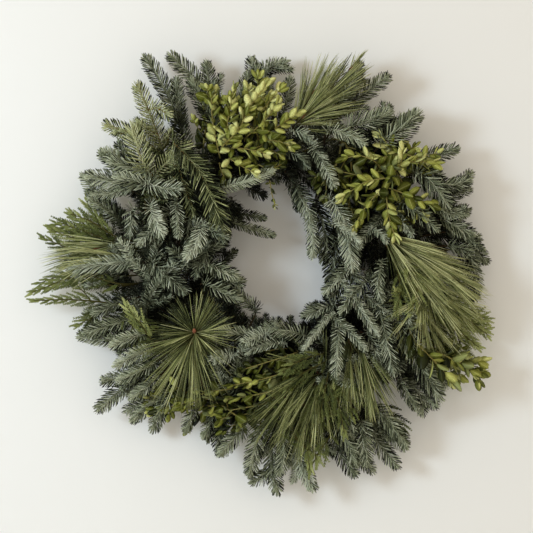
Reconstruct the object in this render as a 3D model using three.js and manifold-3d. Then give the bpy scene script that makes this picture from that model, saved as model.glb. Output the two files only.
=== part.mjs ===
// A fresh evergreen wreath of noble fir, white pine, boxwood and cedar on a wire ring frame.
// Millimetres, +Z up. The wall is the plane y = 0 and the front of the wreath faces -Y. The origin
// is where a nail carries the hanging loop, and the ring's centre lies straight below it.
// Inside the group, the ring's centre is the origin. A point there is given as [x, depth, z], with
// the depth measured out from the wall. Bearings are degrees clockwise from the top, seen from the
// front, which is the way the sprays are bound on.

import * as THREE from 'three';
import { mergeVertices } from 'three/addons/utils/BufferGeometryUtils.js';
import Module from 'manifold-3d';

// Wire frame
const INNER_RAIL = 165;
const OUTER_RAIL = 191;
const RAIL_WIDTH = 3.8;
const RAIL_BACK = 1.4;
const RAIL_STEPS = 22;
const RAIL_SIDES = 6;
const TIE_SIZE = [6, 1.8];
const TIE_COUNT = 6;
const TIE_OVERLAP = 1;

// Binding wire
const BINDING_WIDTH = 0.9;
const BINDING_SIDES = 3;
const FEET_PER_TURN = 3;
const BACK_GAP = 0.3;
const GAP = 0.35;

// Hanging loop
const LOOP_WIRE = 1.6;
const LOOP_RISE = 21;
const LOOP_HALF_SPAN = 8;
const LOOP_SIDES = 5;
const LOOP_STEPS = 6;
const LOOP_ROOM = 2;
const COLLAR_LENGTH = 5;
const COLLAR_WALL = 0.8;
const COLLAR_ROOM = 0.25;
const COLLAR_SIDES = 8;

// Stems
const FOOT_RADIUS = 2;
const FOOT_START = 162.2;
const FOOT_END = 199;
const FOOT_LEAN = 30;
const INNER_FOOT_HALF = 17;
const STEM_RADIUS = 3;
const TWIG_RADIUS = 2.4;
const STEM_SIDES = 4;
const TAPER = 0.2;
const FOOT_CORNERS = 2;
const CURVE_STEPS = 4;
const TWIG_STEPS = 2;
const PULL = 0.45;
const RISE = 0.8;
const FIRST_FORK = 0.45;
const FORK_SPREAD = 0.35;
const FORK_AHEAD = 0.05;
const LIFT_STEP = 4;
const LIFT_TRIES = 12;
const LEAST_DEPTH = 5;
const FRONT = 145;

// Needles
const ROLL_SPREAD = 0.4;
const LAST_ROOT = 0.9;
const CLEAR_ROOT = 0.12;
const SECOND_LEAN = 0.6;
const NEAR = 0.02;
const WALL_GAP = 1;
const LEAF_HEIGHT = 0.75;
const LEAF_FULLNESS = 0.55;

// Meshes
const SAME_POINT = 1e-4;
const SHORTEST_EDGE = 0.01;

// The clear hole of the wreath, as least and greatest x and z
const HOLE = [-38, 38, -52, 32];

// Each kind of foliage: its colour, and how its needles, scales or leaves stand on a shoot. length
// and radius are one needle's, lean is its angle to the shoot at the first and the last needle, and
// from is the share of the shoot that is bare. main and twig are how many a stem and a side shoot
// have. A flat kind has them in one plane, and a leaf is broad.
const KINDS = {
  fir: { colour: 0x5f7468, length: 23, radius: 0.9, lean: [58, 24], from: 0.3, main: 8, twig: 4 },
  silver: { colour: 0x8fa596, length: 21, radius: 0.9, lean: [55, 24], from: 0.3, main: 8, twig: 4 },
  green: { colour: 0x5b7850, length: 22, radius: 0.85, lean: [62, 26], from: 0.35, main: 9, twig: 5 },
  pine: { colour: 0x7f9a52, length: 98, radius: 0.8, lean: [32, 14], from: 0.6, main: 15, twig: 7 },
  cedar: {
    colour: 0x76893c, length: 30, radius: 1.3, lean: [40, 16], from: 0.3, main: 10, twig: 5, flat: true,
  },
  boxwood: {
    colour: 0x9fae50, length: 18, radius: 4.8, lean: [52, 30], from: 0.3, main: 8, twig: 3, leaf: true,
  },
};
const WIRE_COLOUR = 0x3c4038;
const BINDING_COLOUR = 0x4c5a44;
const LOOP_COLOUR = 0x54584c;

// A spray has the bearing of its foot and its tips: the stem's own, then those of its side shoots.
const spray = (name, kind, bearing, ...tips) => ({ name, kind, bearing, tips });

// The sprays whose feet lie across the front of the frame, in the order they are bound on.
const SPRAYS = [
  spray('boxwood_right_low', 'boxwood', 4, [99, 86, 66], [60, 78, 118], [150, 90, 150]),
  spray('fir_upper_right', 'fir', 13, [207, 48, 229], [163, 68, 240], [162, 76, 216]),
  spray('boxwood_right_high', 'boxwood', 20, [229, 82, 153], [195, 88, 75], [160, 86, 175]),
  spray('fir_right_high', 'fir', 27, [267, 50, 178], [244, 66, 132]),
  spray('silver_right_face', 'silver', 34, [154, 94, 43], [117, 98, 34], [190, 86, 54]),
  spray('pine_right', 'pine', 45, [214, 88, 10], [196, 78, 42]),
  spray('fir_right_side', 'fir', 51, [285, 45, 85], [289, 38, 142], [244, 66, 96]),
  spray('fir_right_long', 'fir', 57, [303, 32, 42], [270, 42, 66], [315, 26, 6]),
  spray('fir_right_edge', 'fir', 64, [298, 34, -50], [288, 30, -8]),
  spray('silver_right_low', 'silver', 70, [171, 96, -70], [160, 90, -44], [128, 86, -12]),
  spray('pine_right_low', 'pine', 76, [226, 78, -72], [236, 66, -40]),
  spray('cedar_right_face', 'cedar', 82, [199, 98, -84], [187, 94, -60]),
  spray('cedar_right_edge', 'cedar', 87, [313, 50, -95], [300, 46, -122]),
  spray('boxwood_lower_right', 'boxwood', 93, [303, 62, -160], [262, 70, -150]),
  spray('pine_bottom_right', 'pine', 98, [120, 90, -150], [142, 82, -162]),
  spray('fir_lower_right_face', 'silver', 104, [171, 88, -162], [141, 98, -105], [124, 94, -126]),
  spray('fir_lower_right', 'fir', 110, [235, 58, -210], [250, 40, -177], [216, 46, -224]),
  spray('silver_lower_right', 'silver', 116, [79, 100, -163], [100, 94, -140]),
  spray('silver_hole_low', 'silver', 122, [33, 94, -120], [48, 86, -96]),
  spray('fir_bottom_right', 'fir', 128, [178, 42, -303], [192, 36, -276]),
  spray('pine_bottom', 'pine', 134, [2, 82, -206], [30, 74, -224]),
  spray('fir_bottom_long', 'fir', 141, [114, 50, -316], [142, 28, -312]),
  spray('cedar_bottom', 'cedar', 147, [45, 82, -304], [79, 86, -217], [0, 88, -151]),
  spray('silver_bottom', 'silver', 153, [51, 58, -336], [84, 40, -284], [33, 44, -309]),
  spray('fir_bottom_middle', 'fir', 160, [-3, 52, -342], [22, 40, -305], [-43, 44, -327]),
  spray('boxwood_bottom', 'boxwood', 167, [-108, 86, -195], [-40, 88, -160], [-60, 80, -226]),
  spray('silver_bottom_face', 'silver', 174, [-97, 88, -141], [-52, 94, -114]),
  spray('fir_bottom_left', 'fir', 182, [-90, 46, -283], [-110, 30, -265]),
  spray('pine_brush', 'pine', 188, [-126, 90, -96], [-104, 84, -84]),
  spray('boxwood_bottom_left', 'boxwood', 194, [-193, 64, -217], [-150, 74, -196]),
  spray('fir_lower_left', 'fir', 200, [-192, 32, -250], [-234, 40, -220]),
  spray('fir_left_low', 'fir', 207, [-275, 50, -217], [-268, 56, -174]),
  spray('fir_left_middle', 'fir', 218, [-303, 45, -105], [-260, 62, -110], [-294, 30, -69]),
  spray('silver_left_face', 'silver', 225, [-135, 104, 21], [-175, 98, 56], [-84, 88, 36]),
  spray('cedar_left_low', 'cedar', 232, [-370, 50, -52], [-193, 76, -91]),
  spray('fir_left_high', 'silver', 240, [-321, 72, 9], [-250, 78, 32]),
  spray('pine_left', 'pine', 247, [-262, 60, 36], [-250, 72, 4]),
  spray('cedar_left_high', 'cedar', 254, [-343, 44, 56], [-316, 40, 78]),
  spray('fir_left_upper', 'fir', 262, [-286, 58, 105], [-297, 50, 138]),
  spray('green_left_face', 'green', 270, [-135, 94, 181], [-138, 100, 118], [-135, 94, 156]),
  spray('fir_upper_left_side', 'fir', 277, [-270, 64, 171], [-243, 60, 186]),
  spray('green_upper_left', 'green', 290, [-213, 80, 271], [-262, 76, 212], [-162, 82, 222]),
  spray('fir_top_left', 'fir', 300, [-204, 46, 316], [-157, 40, 283]),
  spray('boxwood_top_left', 'boxwood', 308, [-97, 90, 256], [-60, 94, 236]),
  spray('fir_top_tall', 'fir', 316, [-166, 58, 318], [-111, 48, 307]),
  spray('boxwood_top', 'boxwood', 324, [-21, 88, 270], [-22, 86, 166], [-16, 94, 232]),
  spray('fir_crown', 'fir', 332, [-45, 36, 314], [-33, 28, 306], [12, 32, 309]),
  spray('pine_top', 'pine', 341, [58, 60, 232], [36, 44, 246]),
  spray('fir_top_right', 'fir', 355, [163, 58, 285], [121, 44, 307]),
];

// The sprays whose feet lie along the inner rail and that reach into the hole.
const INNER_SPRAYS = [
  spray('fir_hole_top_right', 'silver', 40, [46, 52, 20], [105, 86, -2]),
  spray('fir_hole_bottom_right', 'fir', 112, [42, 60, -62], [70, 66, -30]),
  spray('fir_hole_bottom', 'fir', 148, [-24, 62, -84], [16, 56, -76]),
  spray('fir_hole_left', 'fir', 240, [-54, 66, -24], [-66, 44, 24]),
  spray('fir_hole_top_left', 'fir', 284, [-78, 98, 62], [-21, 60, 72], [-8, 50, 46]),
];

const wasm = await Module();
wasm.setup();

const radians = (degrees) => (degrees * Math.PI) / 180;

// A point of the wreath, from its x, its depth in front of the wall and its z.
const at = (x, depth, z) => new THREE.Vector3(x, -depth, z);

const outward = (bearing) => at(Math.sin(radians(bearing)), 0, Math.cos(radians(bearing)));

const clockwise = (bearing) => at(Math.cos(radians(bearing)), 0, -Math.sin(radians(bearing)));

// A repeatable draw from 0 to 1.
function dice(seed) {
  let state = seed;
  return () => {
    state = (state * 1664525 + 1013904223) % 4294967296;
    return state / 4294967296;
  };
}

// Solids

function solid(geometry) {
  geometry.deleteAttribute('normal');
  geometry.deleteAttribute('uv');
  const merged = mergeVertices(geometry, SAME_POINT);
  return new wasm.Manifold(new wasm.Mesh({
    numProp: 3,
    vertProperties: merged.attributes.position.array,
    triVerts: Uint32Array.from(merged.index.array),
  }));
}

// The node of a solid. Only its largest body is kept, and a sealed hollow in it is filled.
function node(name, shape, color, roughness, metalness) {
  const bodies = shape.decompose().sort((a, b) => b.volume() - a.volume());
  const mesh = bodies[0].getMesh();
  const geometry = new THREE.BufferGeometry();
  geometry.setAttribute('position', new THREE.BufferAttribute(mesh.vertProperties, 3));
  geometry.setIndex(new THREE.BufferAttribute(mesh.triVerts, 1));
  geometry.computeVertexNormals();
  const material = new THREE.MeshStandardMaterial({ color, roughness, metalness });
  const made = new THREE.Mesh(geometry, material);
  made.name = name;
  return made;
}

// A path whose steps fall on its own corners.
class CornerPath extends THREE.Curve {
  constructor(points) {
    super();
    this.points = points;
  }

  getPoint(t, target = new THREE.Vector3()) {
    const along = Math.min(t, 1) * (this.points.length - 1);
    const i = Math.min(Math.floor(along), this.points.length - 2);
    return target.lerpVectors(this.points[i], this.points[i + 1], along - i);
  }

  getUtoTmapping(u) {
    return u;
  }
}

function polygon(radius, sides, turn = 0) {
  const corners = [];
  for (let i = 0; i < sides; i++) {
    const angle = turn + (i * 2 * Math.PI) / sides;
    corners.push(new THREE.Vector2(radius * Math.cos(angle), radius * Math.sin(angle)));
  }
  return corners;
}

function wire(points, width, sides) {
  const section = new THREE.Shape(polygon(width / 2, sides));
  const extrudePath = new CornerPath(points);
  const steps = points.length - 1;
  return solid(new THREE.ExtrudeGeometry(section, { extrudePath, steps, bevelEnabled: false }));
}

// A ring of revolution about +Y with a closed section centred at this radius and depth.
function hoop(radius, depth, section, steps) {
  const profile = [...section, section[0]].map((p) => new THREE.Vector2(radius + p.x, p.y - depth));
  return solid(new THREE.LatheGeometry(profile, steps));
}

// Clearances: everything that stems and needles keep off is a capsule, a line with a radius.

const obstacles = [];

function capsule(owner, a, b, radius) {
  return { owner, a, b, radius };
}

function lineDistance(p, q, r, s) {
  const u = q.clone().sub(p);
  const v = s.clone().sub(r);
  const w = p.clone().sub(r);
  const uu = u.dot(u);
  const uv = u.dot(v);
  const vv = v.dot(v);
  const uw = u.dot(w);
  const vw = v.dot(w);
  const spread = uu * vv - uv * uv;
  let onU = spread > 1e-9 ? THREE.MathUtils.clamp((uv * vw - vv * uw) / spread, 0, 1) : 0;
  const onV = THREE.MathUtils.clamp((uv * onU + vw) / vv, 0, 1);
  onU = THREE.MathUtils.clamp((uv * onV - uw) / uu, 0, 1);
  return w.addScaledVector(u, onU).addScaledVector(v, -onV).length();
}

// The least distance from some capsules to those of every other owner.
function clearance(capsules) {
  let least = Infinity;
  for (const c of capsules) {
    for (const o of obstacles) {
      if (o.owner !== c.owner) {
        least = Math.min(least, lineDistance(c.a, c.b, o.a, o.b) - c.radius - o.radius);
      }
    }
  }
  return least;
}

function block(owner, points, radius) {
  for (let i = 1; i < points.length; i++) {
    obstacles.push(capsule(owner, points[i - 1], points[i], radius));
  }
}

// Wire frame, binding wire and hanging loop

const railDepth = RAIL_BACK + (RAIL_WIDTH / 2) * Math.cos(Math.PI / 6);
const railFront = 2 * railDepth - RAIL_BACK;
const footDepth = railFront + GAP + FOOT_RADIUS;
const innerFootRadius = INNER_RAIL * Math.cos(Math.PI / RAIL_STEPS) - RAIL_WIDTH / 2 - GAP - FOOT_RADIUS;

// Where a foot that starts at a bearing crosses a radius, as a distance along it and a bearing.
function footCrossing(bearing, radius) {
  const lean = radians(FOOT_LEAN);
  const rise = FOOT_START * Math.sin(lean);
  const along = -rise + Math.sqrt(rise * rise + radius * radius - FOOT_START * FOOT_START);
  const ahead = Math.atan2(along * Math.cos(lean), FOOT_START + along * Math.sin(lean));
  return { along, bearing: bearing + THREE.MathUtils.radToDeg(ahead) };
}

// The binding wire passes round the frame before every third foot.
function bindingBearings() {
  const outer = SPRAYS.map(({ bearing }) => footCrossing(bearing, OUTER_RAIL).bearing);
  const bearings = [(outer[outer.length - 1] - 360 + outer[0]) / 2];
  for (let i = FEET_PER_TURN; i < outer.length; i += FEET_PER_TURN) {
    bearings.push((outer[i - 1] + outer[i]) / 2);
  }
  return bearings;
}

function bindingPath() {
  const outside = OUTER_RAIL + RAIL_WIDTH / 2 + GAP + BINDING_WIDTH;
  const inside = innerFootRadius - FOOT_RADIUS - GAP - BINDING_WIDTH / 2;
  const back = RAIL_BACK - BACK_GAP - BINDING_WIDTH / 2;
  const front = footDepth + FOOT_RADIUS + GAP + BINDING_WIDTH / 2;
  const points = [];
  for (const bearing of bindingBearings()) {
    const arm = outward(bearing);
    points.push(arm.clone().multiplyScalar(inside).add(at(0, front, 0)));
    points.push(arm.clone().multiplyScalar(inside).add(at(0, back, 0)));
    points.push(arm.clone().multiplyScalar(outside).add(at(0, back, 0)));
    points.push(arm.clone().multiplyScalar(outside).add(at(0, front, 0)));
  }
  return points;
}

function wireFrame() {
  const section = polygon(RAIL_WIDTH / 2, RAIL_SIDES);
  const parts = [INNER_RAIL, OUTER_RAIL].map((radius) => hoop(radius, railDepth, section, RAIL_STEPS));
  const turns = bindingBearings();
  const middle = (INNER_RAIL + OUTER_RAIL) / 2;
  for (let i = 0; i < TIE_COUNT; i++) {
    const turn = FEET_PER_TURN * i;
    const bearing = (turns[turn] + turns[turn + 1]) / 2;
    const span = OUTER_RAIL - INNER_RAIL + 2 * TIE_OVERLAP;
    const strip = new THREE.BoxGeometry(...TIE_SIZE, span);
    strip.rotateY(radians(bearing));
    const centre = outward(bearing).multiplyScalar(middle);
    strip.translate(centre.x, -TIE_SIZE[1] / 2, centre.z);
    parts.push(solid(strip));
  }
  return node('wire_frame', wasm.Manifold.union(parts), WIRE_COLOUR, 0.5, 0.8);
}

function hangingLoop() {
  const slope = Math.PI / RAIL_STEPS;
  const inner = RAIL_WIDTH / 2 + COLLAR_ROOM;
  const railHeight = OUTER_RAIL - LOOP_HALF_SPAN * Math.tan(slope);
  const seat = railHeight + inner + COLLAR_WALL / 2;
  const arch = [at(-LOOP_HALF_SPAN, railDepth, seat)];
  for (let i = 0; i <= LOOP_STEPS; i++) {
    const angle = Math.PI * (1 - i / LOOP_STEPS);
    const height = OUTER_RAIL + LOOP_RISE - LOOP_HALF_SPAN * (1 - Math.sin(angle));
    arch.push(at(LOOP_HALF_SPAN * Math.cos(angle), railDepth, height));
  }
  arch.push(at(LOOP_HALF_SPAN, railDepth, seat));
  const parts = [wire(arch, LOOP_WIRE, LOOP_SIDES)];
  const wall = [
    new THREE.Vector2(inner, -COLLAR_LENGTH / 2),
    new THREE.Vector2(inner + COLLAR_WALL, -COLLAR_LENGTH / 2),
    new THREE.Vector2(inner + COLLAR_WALL, COLLAR_LENGTH / 2),
    new THREE.Vector2(inner, COLLAR_LENGTH / 2),
    new THREE.Vector2(inner, -COLLAR_LENGTH / 2),
  ];
  for (const side of [-1, 1]) {
    const collar = new THREE.LatheGeometry(wall, COLLAR_SIDES);
    collar.rotateZ(Math.PI / 2);
    collar.rotateY(side * slope);
    collar.translate(side * LOOP_HALF_SPAN, -railDepth, railHeight);
    parts.push(solid(collar));
  }
  return node('hanging_loop', wasm.Manifold.union(parts), LOOP_COLOUR, 0.5, 0.8);
}

function blockHardware() {
  for (const radius of [INNER_RAIL, OUTER_RAIL]) {
    const round = [];
    for (let i = 0; i <= RAIL_STEPS; i++) {
      round.push(outward((i * 360) / RAIL_STEPS).multiplyScalar(radius).add(at(0, railDepth, 0)));
    }
    block('wire_frame', round, RAIL_WIDTH / 2);
  }
  block('binding_wire', bindingPath(), BINDING_WIDTH / 2);
  const low = at(0, railDepth, OUTER_RAIL + LOOP_ROOM);
  const high = at(0, railDepth, OUTER_RAIL + LOOP_RISE);
  block('hanging_loop', [low, high], LOOP_HALF_SPAN + LOOP_ROOM);
}

// Stems

function bend(start, heading, tip, steps) {
  const reach = start.distanceTo(tip);
  const control = start.clone().addScaledVector(heading, PULL * reach);
  control.y = THREE.MathUtils.lerp(start.y, tip.y, RISE);
  const curve = new THREE.QuadraticBezierCurve3(start, control, tip);
  return curve.getPoints(steps);
}

function lifted(points, fixed, depth) {
  return points.map((p, i) => (i < fixed ? p : at(p.x, Math.max(LEAST_DEPTH, -p.y + depth), p.z)));
}

// Moves a stem in depth, by the least step that clears the stems already placed.
function settle(owner, points, fixed, radius) {
  let best = { room: -Infinity };
  for (let i = 0; i < 2 * LIFT_TRIES; i++) {
    const depth = (i % 2 ? 1 : -1) * Math.ceil(i / 2) * LIFT_STEP;
    const path = lifted(points, fixed, depth);
    const capsules = [];
    for (let j = Math.max(1, fixed); j < path.length; j++) {
      capsules.push(capsule(owner, path[j - 1], path[j], radius));
    }
    const room = clearance(capsules);
    if (room > best.room) {
      best = { room, path, depth };
    }
    if (room >= GAP) {
      break;
    }
  }
  block(owner, best.path, radius);
  return best;
}

function crossFoot({ bearing }) {
  const lean = radians(FOOT_LEAN);
  const heading = clockwise(bearing).multiplyScalar(Math.cos(lean));
  heading.addScaledVector(outward(bearing), Math.sin(lean));
  const start = outward(bearing).multiplyScalar(FOOT_START).add(at(0, footDepth, 0));
  const end = start.clone().addScaledVector(heading, footCrossing(bearing, FOOT_END).along);
  return { start, end, heading };
}

// An inner foot lies along the middle of one straight side of the inner rail.
function innerFoot({ bearing }) {
  const side = 360 / RAIL_STEPS;
  const square = (Math.floor(bearing / side) + 0.5) * side;
  const middle = outward(square).multiplyScalar(innerFootRadius).add(at(0, railDepth, 0));
  const heading = clockwise(square);
  return {
    start: middle.clone().addScaledVector(heading, -INNER_FOOT_HALF),
    end: middle.clone().addScaledVector(heading, INNER_FOOT_HALF),
    heading,
  };
}

// A spray's shoots: its stem, from the foot, and its side shoots, spread along the stem's outer part.
function grow(name, tips, foot) {
  const [tip, ...sides] = tips.map((p) => at(...p));
  const points = [foot.start, ...bend(foot.end, foot.heading, tip, CURVE_STEPS)];
  const stem = settle(name, points, FOOT_CORNERS, STEM_RADIUS);
  const shoots = [{ path: stem.path, radius: STEM_RADIUS, main: true }];
  sides.forEach((side, i) => {
    const fork = FIRST_FORK + (FORK_SPREAD * i) / Math.max(1, sides.length - 1);
    const line = new CornerPath(stem.path);
    const start = line.getPoint(fork);
    const heading = line.getPoint(fork + FORK_AHEAD).sub(start).normalize();
    side.y = Math.min(-LEAST_DEPTH, side.y - stem.depth);
    heading.add(side.clone().sub(start).normalize()).normalize();
    const twig = settle(name, bend(start, heading, side, TWIG_STEPS), 1, TWIG_RADIUS);
    shoots.push({ path: twig.path, radius: TWIG_RADIUS, main: false });
  });
  return shoots;
}

// A thin cone bent along the shoot, which the needles stand out of.
function core(shoot) {
  const steps = shoot.path.length - 1;
  const geometry = new THREE.ConeGeometry(1, 1, STEM_SIDES, steps);
  geometry.rotateY(Math.PI / STEM_SIDES);
  const line = new CornerPath(shoot.path);
  const spots = geometry.attributes.position;
  for (let i = 0; i < spots.count; i++) {
    const t = spots.getY(i) + 0.5;
    const step = Math.round(t * steps);
    const ahead = line.getPoint(Math.min(1, (step + 0.5) / steps));
    const behind = line.getPoint(Math.max(0, (step - 0.5) / steps));
    const forward = ahead.sub(behind).normalize();
    const side = new THREE.Vector3(0, 1, 0).cross(forward).normalize();
    const over = forward.clone().cross(side);
    const round = Math.hypot(spots.getX(i), spots.getZ(i));
    const spot = line.getPoint(t);
    if (round > SAME_POINT) {
      const thick = shootRadius(shoot, step) / round;
      spot.addScaledVector(side, spots.getX(i) * thick);
      spot.addScaledVector(over, -spots.getZ(i) * thick);
    }
    spots.setXYZ(i, spot.x, spot.y, spot.z);
  }
  return solid(geometry);
}

function shootRadius(shoot, step) {
  const steps = shoot.path.length - 1;
  if (shoot.main && step < FOOT_CORNERS) {
    return FOOT_RADIUS;
  }
  return shoot.radius * (1 + TAPER / 2 - (TAPER * step) / steps);
}

// Needles, scales and leaves

// A flat three-sided needle or scale, from its root along +Y.
function spike(length, radius) {
  const geometry = new THREE.ConeGeometry(radius, length, 3);
  geometry.translate(0, length / 2, 0);
  return geometry;
}

// A six-cornered leaf, thickest at its midrib and a little arched, from its root along +Y.
function leaf(length, halfWidth) {
  const geometry = new THREE.SphereGeometry(1, 6, 2);
  geometry.rotateY(Math.PI / 2);
  geometry.rotateX(Math.PI / 2);
  geometry.scale(halfWidth / Math.cos(Math.PI / 6), length / 2, LEAF_HEIGHT);
  geometry.translate(0, length / 2, 0);
  const spots = geometry.attributes.position;
  for (let i = 0; i < spots.count; i++) {
    const share = spots.getY(i) / length;
    spots.setY(i, length * Math.pow(share, LEAF_FULLNESS));
  }
  return geometry;
}

function insideHole(p) {
  return p.x > HOLE[0] && p.x < HOLE[1] && p.z > HOLE[2] && p.z < HOLE[3];
}

// Turns a needle round its shoot, and then leans it forward, until it is clear of the other sprays.
function place(name, kind, root, forward, roll, lean) {
  const side = new THREE.Vector3(0, 1, 0).cross(forward).normalize();
  const over = forward.clone().cross(side);
  const turns = kind.flat ? 2 : STEM_SIDES;
  for (let i = 0; i < 2 * turns; i++) {
    const turned = roll + ((i % turns) * 2 * Math.PI) / turns;
    const leant = radians(lean) * (i < turns ? 1 : SECOND_LEAN);
    const out = side.clone().multiplyScalar(Math.cos(turned)).addScaledVector(over, Math.sin(turned));
    const heading = forward.clone().multiplyScalar(Math.cos(leant)).addScaledVector(out, Math.sin(leant));
    const tip = root.clone().addScaledVector(heading, kind.length);
    const path = capsule(name, root.clone().lerp(tip, CLEAR_ROOT), tip, kind.radius);
    const between = tip.y < -WALL_GAP - kind.radius && tip.y > -FRONT;
    if (between && !insideHole(tip) && clearance([path]) >= GAP) {
      obstacles.push({ ...path, owner: `needles of ${name}` });
      return { heading, across: forward.clone().cross(out).normalize() };
    }
  }
  return null;
}

// One needle, scale or leaf as a solid, where it has been placed.
function needle(kind, root, { heading, across }) {
  const shape = kind.leaf ? leaf(kind.length, kind.radius) : spike(kind.length, kind.radius);
  const turn = new THREE.Matrix4();
  turn.makeBasis(across, heading, across.clone().cross(heading));
  shape.applyMatrix4(turn);
  shape.translate(root.x, root.y, root.z);
  return solid(shape);
}

// Pairs of needles on opposite sides of a shoot, each pair a quarter turn on from the last.
function needles(name, kind, shoot, draw) {
  const count = shoot.main ? kind.main : kind.twig;
  const line = new CornerPath(shoot.path);
  const made = [];
  for (let i = 0; i < count; i++) {
    const share = (i + 0.5) / count;
    const t = THREE.MathUtils.lerp(kind.from, LAST_ROOT, share);
    const root = line.getPoint(t);
    const forward = line.getPoint(Math.min(1, t + NEAR)).sub(line.getPoint(t - NEAR)).normalize();
    const lean = THREE.MathUtils.lerp(kind.lean[0], kind.lean[1], share);
    const quarter = kind.flat ? 0 : (Math.floor(i / 2) * Math.PI) / 2;
    const roll = i * Math.PI + quarter + ROLL_SPREAD * (draw() - 0.5);
    const placed = place(name, kind, root, forward, roll, lean);
    if (placed) {
      made.push(needle(kind, root, placed));
    }
  }
  return made;
}

function dress({ name, kind, shoots }, seed) {
  const look = KINDS[kind];
  const draw = dice(seed);
  const parts = [...shoots.map(core), ...shoots.flatMap((shoot) => needles(name, look, shoot, draw))];
  const shape = wasm.Manifold.union(parts).simplify(SHORTEST_EDGE);
  return node(name, shape, look.colour, 0.7, 0);
}

// Assembly

const wreath = new THREE.Group();
wreath.position.z = -(OUTER_RAIL + LOOP_RISE - LOOP_WIRE / 2);
blockHardware();
wreath.add(wireFrame());
const binding = wire(bindingPath(), BINDING_WIDTH, BINDING_SIDES);
wreath.add(node('binding_wire', binding, BINDING_COLOUR, 0.5, 0.6));
wreath.add(hangingLoop());
const footed = [
  ...SPRAYS.map((row) => ({ ...row, foot: crossFoot(row) })),
  ...INNER_SPRAYS.map((row) => ({ ...row, foot: innerFoot(row) })),
];
for (const { name, foot } of footed) {
  block(name, [foot.start, foot.end], FOOT_RADIUS);
}
const grown = footed.map((row) => ({ ...row, shoots: grow(row.name, row.tips, row.foot) }));
grown.forEach((row, i) => wreath.add(dress(row, i + 1)));

export default wreath;
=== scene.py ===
"""The fresh evergreen wreath, dressed with its needles, leaves, scales, bark and wires.

Lengths in the tables are millimetres. The ring's centre is the origin of the tables, points are
(x, depth out from the wall, z), and bearings are degrees clockwise from the top. Meshes are made
in the same frame, with the wall at y = 0, and put into the CAD's when they are finished.
"""

import math

import bpy
import numpy as np
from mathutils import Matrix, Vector


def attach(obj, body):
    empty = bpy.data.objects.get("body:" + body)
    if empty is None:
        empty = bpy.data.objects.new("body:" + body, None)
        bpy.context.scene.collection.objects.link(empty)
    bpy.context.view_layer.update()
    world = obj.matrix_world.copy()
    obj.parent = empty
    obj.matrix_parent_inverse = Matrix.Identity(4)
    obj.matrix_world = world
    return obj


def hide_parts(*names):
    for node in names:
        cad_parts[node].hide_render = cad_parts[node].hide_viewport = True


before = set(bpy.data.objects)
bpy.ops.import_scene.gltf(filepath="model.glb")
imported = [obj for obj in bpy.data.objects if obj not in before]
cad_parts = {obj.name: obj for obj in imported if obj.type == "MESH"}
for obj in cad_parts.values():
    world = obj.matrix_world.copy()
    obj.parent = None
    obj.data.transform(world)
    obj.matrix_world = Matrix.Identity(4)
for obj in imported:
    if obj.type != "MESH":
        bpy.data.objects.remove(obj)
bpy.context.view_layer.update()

# Wire frame, binding wire and hanging loop
INNER_RAIL = 165.0
OUTER_RAIL = 191.0
RAIL_WIDTH = 3.8
RAIL_BACK = 1.4
RAIL_STEPS = 22
TIE_SIZE = (6.0, 1.8)
TIE_COUNT = 6
BINDING_WIDTH = 0.9
BINDING_BACK = 0.3
FEET_PER_TURN = 3
GAP = 0.35
LOOP_WIRE = 1.6
LOOP_RISE = 21.0
LOOP_HALF_SPAN = 8.0
LOOP_MARGIN = 2.0
COLLAR_LENGTH = 5.0
COLLAR_ROOM = 0.25

# Stems
FOOT_RADIUS = 2.0
FOOT_START = 162.2
FOOT_END = 199.0
FOOT_LEAN = math.radians(30)
INNER_FOOT_HALF = 17.0
STEM_RADIUS = 3.0
TWIG_RADIUS = 2.4
CURVE_STEPS = 4
TWIG_STEPS = 2
PULL = 0.45
RISE = 0.8
FIRST_FORK = 0.45
FORK_SPREAD = 0.35
FORK_AHEAD = 0.05
LIFT_STEP = 4
LIFT_TRIES = 12
LEAST_DEPTH = 5.0

# The ring's centre is this far below the CAD's origin.
DROP = OUTER_RAIL + LOOP_RISE - LOOP_WIRE / 2
MM = 0.001

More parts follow.
